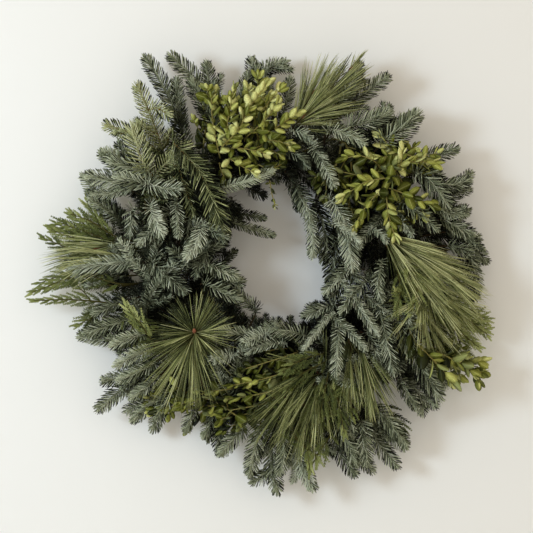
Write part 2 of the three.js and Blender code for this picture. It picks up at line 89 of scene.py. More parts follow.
# The sprays across the front of the frame, in the order they are bound on: name, kind, bearing of
# the foot, and the tips of the stem and of its side shoots.
SPRAYS = [
    ("boxwood_right_low", "boxwood", 4, [(99, 86, 66), (60, 78, 118), (150, 90, 150)]),
    ("fir_upper_right", "fir", 13, [(207, 48, 229), (163, 68, 240), (162, 76, 216)]),
    ("boxwood_right_high", "boxwood", 20, [(229, 82, 153), (195, 88, 75), (160, 86, 175)]),
    ("fir_right_high", "fir", 27, [(267, 50, 178), (244, 66, 132)]),
    ("silver_right_face", "silver", 34, [(154, 94, 43), (117, 98, 34), (190, 86, 54)]),
    ("pine_right", "pine", 45, [(214, 88, 10), (196, 78, 42)]),
    ("fir_right_side", "fir", 51, [(285, 45, 85), (289, 38, 142), (244, 66, 96)]),
    ("fir_right_long", "fir", 57, [(303, 32, 42), (270, 42, 66), (315, 26, 6)]),
    ("fir_right_edge", "fir", 64, [(298, 34, -50), (288, 30, -8)]),
    ("silver_right_low", "silver", 70, [(171, 96, -70), (160, 90, -44), (128, 86, -12)]),
    ("pine_right_low", "pine", 76, [(226, 78, -72), (236, 66, -40)]),
    ("cedar_right_face", "cedar", 82, [(199, 98, -84), (187, 94, -60)]),
    ("cedar_right_edge", "cedar", 87, [(313, 50, -95), (300, 46, -122)]),
    ("boxwood_lower_right", "boxwood", 93, [(303, 62, -160), (262, 70, -150)]),
    ("pine_bottom_right", "pine", 98, [(120, 90, -150), (142, 82, -162)]),
    ("fir_lower_right_face", "silver", 104, [(171, 88, -162), (141, 98, -105), (124, 94, -126)]),
    ("fir_lower_right", "fir", 110, [(235, 58, -210), (250, 40, -177), (216, 46, -224)]),
    ("silver_lower_right", "silver", 116, [(79, 100, -163), (100, 94, -140)]),
    ("silver_hole_low", "silver", 122, [(33, 94, -120), (48, 86, -96)]),
    ("fir_bottom_right", "fir", 128, [(178, 42, -303), (192, 36, -276)]),
    ("pine_bottom", "pine", 134, [(2, 82, -206), (30, 74, -224)]),
    ("fir_bottom_long", "fir", 141, [(114, 50, -316), (142, 28, -312)]),
    ("cedar_bottom", "cedar", 147, [(45, 82, -304), (79, 86, -217), (0, 88, -151)]),
    ("silver_bottom", "silver", 153, [(51, 58, -336), (84, 40, -284), (33, 44, -309)]),
    ("fir_bottom_middle", "fir", 160, [(-3, 52, -342), (22, 40, -305), (-43, 44, -327)]),
    ("boxwood_bottom", "boxwood", 167, [(-108, 86, -195), (-40, 88, -160), (-60, 80, -226)]),
    ("silver_bottom_face", "silver", 174, [(-97, 88, -141), (-52, 94, -114)]),
    ("fir_bottom_left", "fir", 182, [(-90, 46, -283), (-110, 30, -265)]),
    ("pine_brush", "pine", 188, [(-126, 90, -96), (-104, 84, -84)]),
    ("boxwood_bottom_left", "boxwood", 194, [(-193, 64, -217), (-150, 74, -196)]),
    ("fir_lower_left", "fir", 200, [(-192, 32, -250), (-234, 40, -220)]),
    ("fir_left_low", "fir", 207, [(-275, 50, -217), (-268, 56, -174)]),
    ("fir_left_middle", "fir", 218, [(-303, 45, -105), (-260, 62, -110), (-294, 30, -69)]),
    ("silver_left_face", "silver", 225, [(-135, 104, 21), (-175, 98, 56), (-84, 88, 36)]),
    ("cedar_left_low", "cedar", 232, [(-370, 50, -52), (-193, 76, -91)]),
    ("fir_left_high", "silver", 240, [(-321, 72, 9), (-250, 78, 32)]),
    ("pine_left", "pine", 247, [(-262, 60, 36), (-250, 72, 4)]),
    ("cedar_left_high", "cedar", 254, [(-343, 44, 56), (-316, 40, 78)]),
    ("fir_left_upper", "fir", 262, [(-286, 58, 105), (-297, 50, 138)]),
    ("green_left_face", "green", 270, [(-135, 94, 181), (-138, 100, 118), (-135, 94, 156)]),
    ("fir_upper_left_side", "fir", 277, [(-270, 64, 171), (-243, 60, 186)]),
    ("green_upper_left", "green", 290, [(-213, 80, 271), (-262, 76, 212), (-162, 82, 222)]),
    ("fir_top_left", "fir", 300, [(-204, 46, 316), (-157, 40, 283)]),
    ("boxwood_top_left", "boxwood", 308, [(-97, 90, 256), (-60, 94, 236)]),
    ("fir_top_tall", "fir", 316, [(-166, 58, 318), (-111, 48, 307)]),
    ("boxwood_top", "boxwood", 324, [(-21, 88, 270), (-22, 86, 166), (-16, 94, 232)]),
    ("fir_crown", "fir", 332, [(-45, 36, 314), (-33, 28, 306), (12, 32, 309)]),
    ("pine_top", "pine", 341, [(58, 60, 232), (36, 44, 246)]),
    ("fir_top_right", "fir", 355, [(163, 58, 285), (121, 44, 307)]),
]

# The sprays along the inner rail that reach into the hole.
INNER_SPRAYS = [
    ("fir_hole_top_right", "silver", 40, [(46, 52, 20), (105, 86, -2)]),
    ("fir_hole_bottom_right", "fir", 112, [(42, 60, -62), (70, 66, -30)]),
    ("fir_hole_bottom", "fir", 148, [(-24, 62, -84), (16, 56, -76)]),
    ("fir_hole_left", "fir", 240, [(-54, 66, -24), (-66, 44, 24)]),
    ("fir_hole_top_left", "fir", 284, [(-78, 98, 62), (-21, 60, 72), (-8, 50, 46)]),
]

# Shoots that lie on the face of the wreath, for each spray that they belong to: the stem's
# places, the width across its needles or the length of its leaves, which cedar has no use for,
# and its tone.
FACE_SHOOTS = {
    "boxwood_top": [
        ([(-81, 96, 174), (-54, 112, 219), (-21, 112, 267)], 20, 0.72),
        ([(-72, 104, 174), (-45, 116, 171), (-21, 120, 165)], 18, 0.78),
        ([(-51, 96, 189), (-24, 108, 213), (-3, 108, 240)], 20, 0.66),
        ([(-45, 88, 171), (-12, 100, 183), (12, 98, 183)], 18, 0.6),
        ([(-39, 90, 213), (-18, 100, 240), (0, 98, 261)], 20, 0.62),
        ([(-75, 98, 159), (-57, 108, 147), (-39, 112, 138)], 18, 0.74),
        ([(-24, 100, 195), (0, 110, 207), (24, 106, 226)], 19, 0.62),
        ([(-21, 98, 186), (0, 106, 183), (16, 104, 176)], 18, 0.52),
        ([(-33, 92, 150), (-15, 98, 144), (2, 96, 150)], 17, 0.42),
        ([(-15, 88, 126), (-12, 84, 108), (-7, 78, 88)], 9, 0.5),
    ],
    "boxwood_top_left": [
        ([(-90, 96, 165), (-99, 106, 210), (-102, 100, 252)], 18, 0.6),
        ([(-84, 98, 174), (-75, 108, 225), (-69, 104, 261)], 18, 0.64),
        ([(-87, 104, 174), (-63, 120, 198), (-45, 120, 231)], 18, 0.72),
        ([(-90, 90, 153), (-87, 96, 141), (-81, 96, 129)], 18, 0.5),
    ],
    "boxwood_right_high": [
        ([(156, 100, 144), (189, 104, 153), (228, 96, 153)], 21, 0.62),
        ([(144, 98, 150), (120, 108, 162), (96, 108, 159)], 20, 0.56),
        ([(165, 104, 135), (177, 112, 150), (180, 114, 168)], 20, 0.6),
    ],
    "boxwood_right_low": [
        ([(162, 104, 129), (126, 120, 123), (93, 120, 102)], 21, 0.62),
        ([(150, 100, 114), (126, 116, 87), (108, 118, 57)], 21, 0.58),
        ([(156, 100, 108), (159, 114, 78), (168, 112, 45)], 21, 0.62),
        ([(138, 96, 126), (108, 104, 135), (81, 100, 141)], 20, 0.5),
        ([(156, 102, 116), (188, 112, 104), (222, 106, 90)], 21, 0.54),
    ],
    "boxwood_bottom": [
        ([(24, 84, -129), (-15, 98, -141), (-54, 96, -153)], 18, 0.32),
        ([(30, 86, -150), (-18, 102, -165), (-72, 100, -177)], 18, 0.4),
        ([(24, 80, -177), (-27, 94, -189), (-81, 90, -198)], 18, 0.36),
        ([(9, 76, -123), (-21, 84, -126), (-45, 82, -126)], 16, 0.34),
        ([(-21, 72, -204), (-63, 80, -213), (-102, 74, -219)], 18, 0.34),
        ([(-15, 60, -219), (-51, 66, -231), (-84, 58, -246)], 18, 0.36),
    ],
    "boxwood_bottom_left": [
        ([(-99, 70, -195), (-138, 76, -204), (-186, 68, -216)], 20, 0.4),
        ([(-96, 60, -207), (-120, 64, -222), (-138, 54, -246)], 18, 0.38),
        ([(-72, 80, -183), (-102, 90, -186), (-129, 86, -195)], 18, 0.4),
    ],
    "boxwood_lower_right": [
        ([(198, 98, -112), (231, 104, -144), (256, 90, -172)], 26, 0.5),
        ([(186, 94, -84), (196, 104, -106), (204, 98, -128)], 25, 0.36),
        ([(243, 84, -132), (268, 80, -144), (286, 70, -158)], 25, 0.44),
    ],
    "cedar_left_low": [
        ([(-237, 66, -27), (-300, 60, -15), (-374, 46, -40)], 0, 0.5),
        ([(-243, 60, -30), (-300, 56, -22), (-352, 44, -34)], 0, 0.42),
        ([(-243, 60, -15), (-300, 56, -6), (-363, 44, -26)], 0, 0.46),
        ([(-186, 96, -111), (-204, 108, -87), (-226, 108, -60)], 0, 0.66),
    ],
    "cedar_left_high": [
        ([(-240, 68, 42), (-282, 62, 66), (-314, 50, 78)], 0, 0.5),
        ([(-246, 64, 36), (-291, 60, 51), (-328, 50, 64)], 0, 0.52),
        ([(-252, 60, 30), (-300, 56, 39), (-345, 46, 54)], 0, 0.5),
        ([(-252, 56, 24), (-306, 52, 24), (-357, 42, 42)], 0, 0.46),
    ],
    "cedar_right_face": [
        ([(183, 100, 6), (201, 112, -33), (192, 112, -69)], 0, 0.6),
        ([(174, 92, -6), (177, 104, -39), (171, 104, -69)], 0, 0.5),
    ],
    "cedar_right_edge": [
        ([(234, 64, -33), (279, 60, -60), (314, 48, -86)], 0, 0.66),
        ([(234, 62, -48), (279, 58, -78), (314, 46, -104)], 0, 0.62),
        ([(225, 62, -60), (264, 58, -93), (297, 46, -120)], 0, 0.56),
    ],
    "cedar_bottom": [
        ([(66, 92, -129), (33, 104, -138), (3, 104, -156)], 0, 0.5),
        ([(69, 90, -141), (33, 100, -159), (9, 98, -183)], 0, 0.5),
        ([(75, 88, -159), (87, 94, -204), (96, 84, -249)], 0, 0.46),
        ([(72, 90, -156), (64, 98, -196), (57, 88, -231)], 0, 0.46),
        ([(87, 84, -156), (102, 92, -190), (108, 84, -225)], 0, 0.4),
        ([(57, 84, -168), (48, 90, -216), (45, 78, -264)], 0, 0.5),
        ([(75, 66, -246), (60, 68, -276), (45, 56, -306)], 0, 0.6),
        ([(159, 60, -207), (174, 60, -228), (186, 50, -249)], 0, 0.3),
    ],
    "green_left_face": [
        ([(-156, 104, 180), (-120, 116, 141), (-96, 120, 90), (-84, 112, 45)], 45, 0.2),
        ([(-150, 90, 150), (-138, 98, 110), (-124, 98, 72)], 39, 0.14),
    ],
    "silver_left_face": [
        ([(-190, 108, 88), (-184, 124, 68), (-172, 128, 44)], 36, 0.74),
        ([(-152, 98, 96), (-150, 114, 68), (-148, 120, 42)], 28, 0.44),
        ([(-114, 108, 60), (-122, 122, 36), (-138, 126, 12)], 33, 0.8),
        ([(-126, 100, 60), (-102, 116, 51), (-78, 118, 39)], 33, 0.38),
        ([(-213, 96, 6), (-225, 116, 24), (-237, 126, 39)], 30, 0.58),
        ([(-198, 90, -12), (-212, 108, 2), (-228, 112, 15)], 27, 0.48),
        ([(-138, 96, 6), (-150, 112, 18), (-162, 118, 28)], 33, 0.26),
        ([(-198, 100, 120), (-172, 114, 114), (-144, 116, 112)], 38, 0.54),
        ([(-172, 96, 66), (-192, 110, 50), (-210, 110, 32)], 33, 0.5),
        ([(-192, 84, 8), (-166, 98, -14), (-138, 94, -38)], 42, 0.26),
        ([(-108, 84, 30), (-118, 92, 8), (-126, 90, -16)], 36, 0.14),
        ([(-160, 86, 84), (-176, 98, 62), (-190, 98, 36)], 36, 0.26),
        ([(-132, 84, 78), (-136, 94, 56), (-138, 94, 30)], 36, 0.24),
        ([(-216, 84, 84), (-220, 92, 66), (-222, 90, 44)], 33, 0.4),
    ],
    "green_upper_left": [
        ([(-195, 90, 141), (-210, 104, 174), (-219, 100, 207)], 45, 0.68),
    ],
    "fir_left_low": [
        ([(-201, 84, -102), (-225, 92, -108), (-250, 88, -120)], 27, 0.72),
        ([(-192, 88, -123), (-219, 98, -135), (-244, 92, -150)], 28, 0.74),
        ([(-186, 84, -144), (-213, 92, -159), (-240, 84, -171)], 28, 0.66),
        ([(-180, 76, -165), (-201, 84, -183), (-222, 76, -198)], 27, 0.5),
    ],
    "fir_lower_left": [
        ([(-156, 60, -186), (-171, 66, -207), (-183, 58, -228)], 33, 0.4),
        ([(-168, 56, -192), (-195, 60, -210), (-222, 52, -234)], 27, 0.5),
        ([(-126, 60, -213), (-135, 60, -231), (-141, 52, -249)], 27, 0.45),
    ],
    "fir_upper_right": [
        ([(99, 88, 201), (132, 96, 213), (164, 84, 225)], 42, 0.42),
        ([(150, 80, 180), (177, 86, 200), (207, 76, 226)], 45, 0.44),
        ([(72, 92, 200), (98, 106, 194), (126, 108, 180)], 30, 0.56),
    ],
    "fir_right_high": [
        ([(198, 76, 138), (220, 88, 128), (251, 84, 90)], 45, 0.44),
        ([(216, 70, 120), (252, 76, 120), (285, 66, 129)], 30, 0.42),
        ([(180, 86, 96), (206, 94, 76), (232, 88, 54)], 36, 0.3),
    ],
    "silver_right_face": [
        ([(75, 90, 99), (96, 106, 63), (108, 104, -6)], 39, 0.66),
        ([(78, 104, 66), (99, 120, 48), (117, 124, 33)], 22, 0.62),
        ([(136, 98, 58), (150, 108, 46), (158, 110, 34)], 21, 0.5),
        ([(178, 94, 68), (188, 102, 56), (196, 104, 44)], 23, 0.46),
        ([(96, 94, 54), (110, 104, 40), (121, 104, 28)], 22, 0.5),
    ],
    "fir_hole_top_right": [
        ([(20, 62, 126), (36, 82, 98), (50, 84, 66)], 38, 0.4),
        ([(45, 76, 78), (49, 88, 44), (48, 84, 12)], 25, 0.64),
        ([(54, 56, 99), (66, 68, 54), (69, 62, 6)], 42, 0.2),
        ([(90, 60, 60), (81, 70, 18), (75, 66, -24)], 39, 0.18),
        ([(48, 94, 180), (64, 110, 150), (80, 114, 116)], 29, 0.56),
        ([(9, 56, 141), (24, 64, 114), (30, 58, 84)], 30, 0.45),
        ([(16, 84, 201), (34, 94, 196), (50, 92, 182)], 27, 0.42),
        ([(6, 80, 176), (24, 90, 164), (42, 88, 146)], 30, 0.36),
    ],
    "silver_right_low": [
        ([(84, 92, -12), (114, 108, -57), (144, 110, -103)], 25, 0.56),
        ([(108, 84, -30), (140, 98, -54), (170, 96, -74)], 30, 0.34),
        ([(195, 84, -45), (192, 102, -66), (190, 106, -86)], 24, 0.54),
        ([(108, 84, 6), (87, 100, -18), (66, 98, -39)], 33, 0.44),
        ([(129, 96, -21), (105, 110, -45), (90, 112, -69)], 33, 0.38),
        ([(186, 92, -69), (195, 96, -96), (198, 90, -126)], 30, 0.3),
        ([(150, 96, 6), (144, 108, -27), (150, 106, -51)], 27, 0.36),
        ([(96, 80, 8), (108, 92, -12), (118, 92, -34)], 33, 0.3),
        ([(98, 76, -4), (88, 86, -28), (76, 84, -48)], 33, 0.3),
    ],
    "silver_lower_right": [
        ([(81, 84, -57), (57, 96, -66), (33, 92, -75)], 28, 0.4),
        ([(78, 100, -69), (54, 116, -96), (33, 120, -122)], 16, 0.68),
        ([(87, 100, -87), (84, 116, -124), (81, 118, -160)], 28, 0.54),
    ],
    "fir_lower_right_face": [
        ([(144, 84, -51), (156, 102, -105), (168, 98, -160)], 36, 0.38),
        ([(72, 92, -72), (102, 110, -96), (126, 108, -124)], 24, 0.5),
        ([(126, 84, -96), (138, 96, -120), (146, 92, -148)], 33, 0.3),
    ],
    "fir_hole_bottom": [
        ([(39, 80, -105), (6, 92, -96), (-27, 88, -93)], 33, 0.5),
        ([(-4, 84, -90), (-9, 104, -84), (-12, 120, -80)], 25, 0.66),
        ([(-27, 84, -108), (-57, 98, -102), (-87, 96, -96)], 30, 0.5),
        ([(-36, 60, -69), (-54, 72, -51), (-66, 66, -33)], 27, 0.4),
    ],
    "fir_hole_top_left": [
        ([(-90, 92, 114), (-48, 104, 126), (-10, 100, 142)], 24, 0.78),
        ([(-72, 70, 99), (-84, 74, 66), (-87, 70, 33)], 39, 0.2),
        ([(-48, 60, 117), (-36, 60, 111), (-21, 56, 105)], 27, 0.2),
    ],
    "fir_hole_left": [
        ([(-111, 84, 6), (-87, 98, -6), (-63, 92, -15)], 33, 0.45),
        ([(-114, 80, -27), (-87, 92, -39), (-60, 84, -51)], 33, 0.42),
    ],
    "silver_bottom_face": [
        ([(6, 88, -114), (-27, 102, -117), (-51, 102, -129)], 24, 0.5),
        ([(-20, 90, -102), (-40, 110, -107), (-56, 124, -114)], 30, 0.8),
        ([(-68, 90, -132), (-88, 112, -134), (-102, 126, -139)], 30, 0.76),
    ],
    "fir_bottom_right": [
        ([(138, 60, -207), (162, 66, -231), (183, 54, -261)], 33, 0.4),
        ([(162, 52, -234), (180, 54, -255), (190, 44, -272)], 30, 0.4),
        ([(120, 60, -231), (126, 62, -267), (129, 48, -297)], 36, 0.44),
    ],
    "fir_lower_right": [
        ([(172, 80, -84), (204, 88, -141), (238, 72, -198)], 42, 0.36),
        ([(210, 60, -135), (231, 62, -162), (249, 50, -180)], 30, 0.4),
        ([(176, 72, -170), (192, 74, -192), (204, 64, -214)], 27, 0.36),
    ],
    "fir_bottom_long": [
        ([(84, 60, -237), (104, 62, -270), (114, 50, -300)], 33, 0.44),
        ([(93, 66, -210), (102, 70, -232), (108, 60, -258)], 33, 0.34),
    ],
    "fir_bottom_middle": [
        ([(3, 62, -237), (6, 66, -276), (0, 56, -312)], 30, 0.46),
        ([(-30, 56, -243), (-38, 60, -279), (-45, 50, -315)], 33, 0.5),
    ],
    "fir_bottom_left": [
        ([(-54, 56, -240), (-72, 60, -262), (-90, 50, -284)], 30, 0.55),
        ([(-96, 50, -216), (-105, 52, -237), (-114, 44, -258)], 26, 0.45),
    ],
    "fir_top_tall": [
        ([(-99, 72, 207), (-114, 76, 240), (-135, 66, 276)], 33, 0.4),
    ],
    "fir_crown": [
        ([(-60, 60, 237), (-54, 64, 264), (-46, 52, 291)], 27, 0.36),
        ([(-12, 64, 234), (-18, 68, 261), (-27, 56, 285)], 24, 0.55),
        ([(6, 62, 231), (12, 66, 258), (15, 54, 282)], 27, 0.4),
    ],
    "fir_top_right": [
        ([(90, 70, 243), (105, 74, 267), (120, 60, 294)], 36, 0.5),
    ],
    "fir_right_side": [
        ([(225, 72, 90), (252, 76, 81), (279, 64, 78)], 30, 0.45),
        ([(240, 66, 69), (264, 66, 60), (291, 54, 48)], 33, 0.36),
    ],
    "fir_right_long": [
        ([(252, 54, 30), (276, 52, 21), (297, 40, 0)], 30, 0.36),
        ([(249, 50, 51), (282, 48, 42), (309, 38, 24)], 18, 0.3),
    ],
    "fir_right_edge": [
        ([(273, 50, 24), (291, 48, -3), (298, 36, -45)], 30, 0.36),
    ],
    "fir_left_upper": [
        ([(-222, 64, 112), (-252, 66, 109), (-282, 60, 107)], 22, 0.6),
        ([(-219, 66, 120), (-252, 70, 129), (-288, 62, 135)], 36, 0.66),
    ],
    "fir_upper_left_side": [
        ([(-210, 70, 135), (-237, 74, 153), (-264, 68, 171)], 36, 0.6),
        ([(-192, 84, 138), (-222, 92, 147), (-252, 84, 156)], 39, 0.56),
        ([(-186, 88, 120), (-214, 100, 124), (-243, 92, 130)], 36, 0.56),
    ],
    "fir_left_high": [
        ([(-216, 84, 6), (-258, 90, 2), (-312, 78, -3)], 33, 0.66),
        ([(-240, 66, 6), (-276, 70, -3), (-306, 60, -15)], 30, 0.5),
    ],
    "fir_left_middle": [
        ([(-219, 62, -78), (-258, 62, -90), (-294, 52, -102)], 30, 0.42),
        ([(-228, 56, -51), (-258, 56, -63), (-282, 46, -72)], 24, 0.45),
    ],
}


# The skeleton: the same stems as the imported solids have


def at(x, depth, z):
    return np.array((x, -depth, z), float)


def outward(bearing):
    turn = math.radians(bearing)
    return at(math.sin(turn), 0, math.cos(turn))


def clockwise(bearing):
    turn = math.radians(bearing)
    return at(math.cos(turn), 0, -math.sin(turn))


def unit(vectors):
    return vectors / np.maximum(np.linalg.norm(vectors, axis=-1, keepdims=True), 1e-9)


# A rail of the source has six sides, and lies on a flat one.
RAIL_DEPTH = RAIL_BACK + RAIL_WIDTH / 2 * math.cos(math.pi / 6)
RAIL_FRONT = 2 * RAIL_DEPTH - RAIL_BACK
FOOT_DEPTH = RAIL_FRONT + GAP + FOOT_RADIUS
INNER_FOOT_RADIUS = (
    INNER_RAIL * math.cos(math.pi / RAIL_STEPS) - RAIL_WIDTH / 2 - GAP - FOOT_RADIUS
)


def foot_crossing(bearing, radius):
    """Where a foot that starts at a bearing crosses a radius: its length there and the bearing."""
    rise = FOOT_START * math.sin(FOOT_LEAN)
    along = -rise + math.sqrt(rise * rise + radius * radius - FOOT_START * FOOT_START)
    sideways = along * math.cos(FOOT_LEAN)
    ahead = math.atan2(sideways, FOOT_START + along * math.sin(FOOT_LEAN))
    return along, bearing + math.degrees(ahead)


def binding_bearings():
    outer = [foot_crossing(bearing, OUTER_RAIL)[1] for _, _, bearing, _ in SPRAYS]
    bearings = [(outer[-1] - 360 + outer[0]) / 2]
    for i in range(FEET_PER_TURN, len(outer), FEET_PER_TURN):
        bearings.append((outer[i - 1] + outer[i]) / 2)
    return bearings


def binding_path():
    outside = OUTER_RAIL + RAIL_WIDTH / 2 + GAP + BINDING_WIDTH
    inside = INNER_FOOT_RADIUS - FOOT_RADIUS - GAP - BINDING_WIDTH / 2
    back = RAIL_BACK - BINDING_BACK - BINDING_WIDTH / 2
    front = FOOT_DEPTH + FOOT_RADIUS + GAP + BINDING_WIDTH / 2
    points = []
    for bearing in binding_bearings():
        arm = outward(bearing)
        for radius, depth in ((inside, front), (inside, back), (outside, back), (outside, front)):
            points.append(arm * radius + at(0, depth, 0))
    return np.array(points)


class Room:
    """Everything that a stem keeps off, as capsules."""

    def __init__(self):
        self.owners, self.starts, self.ends, self.radii = [], [], [], []

    def block(self, owner, points, radius):
        for start, end in zip(points[:-1], points[1:]):
            self.owners.append(owner)
            self.starts.append(start)
            self.ends.append(end)
            self.radii.append(radius)

    def around(self, owner):
        others = [i for i, name in enumerate(self.owners) if name != owner]
        return (
            np.array(self.starts)[others],
            np.array(self.ends)[others],
            np.array(self.radii)[others],
        )


def line_distance(start, end, starts, ends):
    """The distance from one straight line to each of the others."""
    own = end - start
    other = ends - starts
    between = start - starts
    own_own = own @ own
    own_other = other @ own
    other_other = (other * other).sum(1)
    own_between = between @ own
    other_between = (between * other).sum(1)
    spread = own_own * other_other - own_other * own_other
    skew = spread > 1e-9
    nearest = (own_other * other_between - other_other * own_between) / np.where(skew, spread, 1)
    on_own = np.where(skew, np.clip(nearest, 0, 1), 0)
    on_other = np.clip((own_other * on_own + other_between) / other_other, 0, 1)
    on_own = np.clip((own_other * on_other - own_between) / own_own, 0, 1)
    return np.linalg.norm(between + own * on_own[:, None] - other * on_other[:, None], axis=1)


def bend(start, heading, tip, steps):
    reach = np.linalg.norm(tip - start)
    control = start + heading * PULL * reach
    control[1] = start[1] + (tip[1] - start[1]) * RISE
    share = np.linspace(0, 1, steps + 1)[:, None]
    return (1 - share) ** 2 * start + 2 * (1 - share) * share * control + share * share * tip


def lifted(points, fixed, depth):
    moved = points.copy()
    moved[fixed:, 1] = -np.maximum(LEAST_DEPTH, depth - points[fixed:, 1])
    return moved


def settle(room, owner, points, fixed, radius):
    """Moves a stem in depth, by the least step that clears the stems already placed."""
    starts, ends, radii = room.around(owner)
    best_room, best_path, best_depth = -math.inf, points, 0
    for i in range(2 * LIFT_TRIES):
        depth = (1 if i % 2 else -1) * math.ceil(i / 2) * LIFT_STEP
        path = lifted(points, fixed, depth)
        free = math.inf
        for j in range(max(1, fixed), len(path)):
            away = line_distance(path[j - 1], path[j], starts, ends) - radii - radius
            free = min(free, away.min())
        if free > best_room:
            best_room, best_path, best_depth = free, path, depth
        if free >= GAP:
            break
    room.block(owner, best_path, radius)
    return best_path, best_depth


def cross_foot(bearing):
    heading = clockwise(bearing) * math.cos(FOOT_LEAN) + outward(bearing) * math.sin(FOOT_LEAN)
    start = outward(bearing) * FOOT_START + at(0, FOOT_DEPTH, 0)
    return start, start + heading * foot_crossing(bearing, FOOT_END)[0], heading


def inner_foot(bearing):
    side = 360 / RAIL_STEPS
    snapped = (math.floor(bearing / side) + 0.5) * side
    middle = outward(snapped) * INNER_FOOT_RADIUS + at(0, RAIL_DEPTH, 0)
    heading = clockwise(snapped)
    return middle - heading * INNER_FOOT_HALF, middle + heading * INNER_FOOT_HALF, heading


def corner_point(path, share):
    along = min(share, 1) * (len(path) - 1)
    i = min(int(along), len(path) - 2)
    return path[i] + (path[i + 1] - path[i]) * (along - i)


def grow(room, name, tips, foot):
    """The corners of a spray's stem, from its foot, and of its side shoots."""
    start, end, heading = foot
    tip, *sides = [at(*point) for point in tips]
    points = np.vstack([start, bend(end, heading, tip, CURVE_STEPS)])
    main_stem, depth = settle(room, name, points, 2, STEM_RADIUS)
    paths = [main_stem]
    for i, side in enumerate(sides):
        fork = FIRST_FORK + FORK_SPREAD * i / max(1, len(sides) - 1)
        root = corner_point(main_stem, fork)
        heading = unit(corner_point(main_stem, fork + FORK_AHEAD) - root)
        side[1] = min(-LEAST_DEPTH, side[1] - depth)
        heading = unit(heading + unit(side - root))
        twig, _ = settle(room, name, bend(root, heading, side, TWIG_STEPS), 1, TWIG_RADIUS)
        paths.append(twig)
    return paths


def skeleton():
    """The kind of each spray and the paths of its stem and side shoots, by its name."""
    room = Room()
    for radius in (INNER_RAIL, OUTER_RAIL):
        ring = [outward(i * 360 / RAIL_STEPS) * radius for i in range(RAIL_STEPS + 1)]
        room.block("wire_frame", np.array(ring) + at(0, RAIL_DEPTH, 0), RAIL_WIDTH / 2)
    room.block("binding_wire", binding_path(), BINDING_WIDTH / 2)
    top = [at(0, RAIL_DEPTH, OUTER_RAIL + LOOP_MARGIN), at(0, RAIL_DEPTH, OUTER_RAIL + LOOP_RISE)]
    room.block("hanging_loop", top, LOOP_HALF_SPAN + LOOP_MARGIN)
    feet = [cross_foot(bearing) for _, _, bearing, _ in SPRAYS]
    feet += [inner_foot(bearing) for _, _, bearing, _ in INNER_SPRAYS]
    rows = SPRAYS + INNER_SPRAYS
    for (name, _, _, _), (start, end, _) in zip(rows, feet):
        room.block(name, [start, end], FOOT_RADIUS)
    return {
        name: (kind, grow(room, name, tips, foot))
        for (name, kind, _, tips), foot in zip(rows, feet)
    }


# Meshes. Their map holds a column for each tint of foliage and strips for bark and for buds, so
# that one map serves every needle: across a column is across the needle, and up it is from root
# to tip.

MAP = "OFBake"
TINTS = 16
FOLIAGE_SHARE = 0.8
COLUMN_MARGIN = 0.08
ROW_MARGIN = 0.01
BARK_STRIP = (0.84, 0.97)
BUD_STRIP = (0.984, 0.998)
BARK_REPEAT = 60.0

# A spray's materials, by their place in its mesh.
FOLIAGE = 0
BARK = 1

# Towards the viewer, straight and with a slight tilt, which few stems point along.
FACING = at(0, 1, 0)
TUBE_FACING = at(0, 1, 0.1)
SHOOT_FACING = at(0, 1, 0.05)


def inside_out(spots, faces):
    """Whether the faces of a closed form look inwards."""
    first, second, third = (spots[faces[:, i]] for i in range(3))
    return (first * np.cross(second, third)).sum() < 0


class Form:
    """A closed form along +Y, lofted through rings of one section and ending in two points.

    A ring is its place along, its width and its height. A corner of the section is its x, its z
    and its place across the map. A fold lifts the sides. With two sides, the top has the lower
    half of the map's height and the underside the upper half.
    """

    def __init__(self, rings, section, fold=0.0, two_sided=False):
        sides = len(section)
        spots = [(0, 0, 0)]
        places = [(0.5, 0)]
        for along, width, height in rings:
            for x, z, across in section:
                spots.append((x * width, along, z * height + fold * abs(x) * width))
                places.append((across, along))
        spots.append((0, 1, 0))
        places.append((0.5, 1))
        last = len(spots) - 1
        faces, under = [], []
        for side in range(sides):
            beside = (side + 1) % sides
            strip = [(0, 1 + side, 1 + beside)]
            for i in range(len(rings) - 1):
                near, far = 1 + i * sides, 1 + (i + 1) * sides
                strip.append((near + side, far + side, far + beside))
                strip.append((near + side, far + beside, near + beside))
            strip.append((last - sides + side, last, last - sides + beside))
            faces += strip
            under += [2 * side >= sides] * len(strip)
        self.spots = np.array(spots, float)
        self.faces = np.array(faces)
        self.under = np.array(under)
        self.places = np.array(places, float)[self.faces]
        if two_sided:
            along = self.places[..., 1]
            self.places[..., 1] = np.where(self.under[:, None], 1 - along / 2, along / 2)
        if inside_out(self.spots, self.faces):
            self.faces = self.faces[:, ::-1]
            self.places = self.places[:, ::-1]


BLADE = ((-1, 0, 0), (0, 1, 0.5), (1, 0, 1))
LENS = (*BLADE, (0, -1, 0.5))
NEEDLE = Form([(0.1, 0.8, 0.8), (0.88, 0.85, 0.8)], BLADE)
SHORT_NEEDLE = Form([(0.5, 1, 1)], BLADE)
LONG_NEEDLE = Form([(0.03, 0.9, 0.9), (0.45, 1, 1), (0.9, 0.7, 0.7)], BLADE)
LEAF = Form(
    [(0.1, 0.42, 0.9), (0.28, 0.86, 1), (0.5, 1, 1), (0.72, 0.86, 0.9), (0.9, 0.48, 0.7)],
    LENS,
    fold=0.22,
    two_sided=True,
)
BRANCHLET = Form(
    [(0.02, 0.7, 0.8), (0.3, 1, 1), (0.34, 0.72, 0.8), (0.62, 1, 1), (0.9, 0.6, 0.8)], LENS
)
SCALE = Form([(0.08, 0.8, 0.8), (0.6, 1, 1)], BLADE)

# Painted shade inside the wreath: how deep inside it needles start to be painted darker, over what
# depth, and by what share. SURFACE is its front's depth from the wall at some distances from the
# ring's centre.
PAINTED_SHADE_FROM = 8.0
PAINTED_SHADE_OVER = 36.0
PAINTED_SHADE_DARKER = 0.78
BACK_SURFACE = 2.0
SURFACE = ((60, 100, 150, 230, 330), (66, 104, 116, 94, 20))


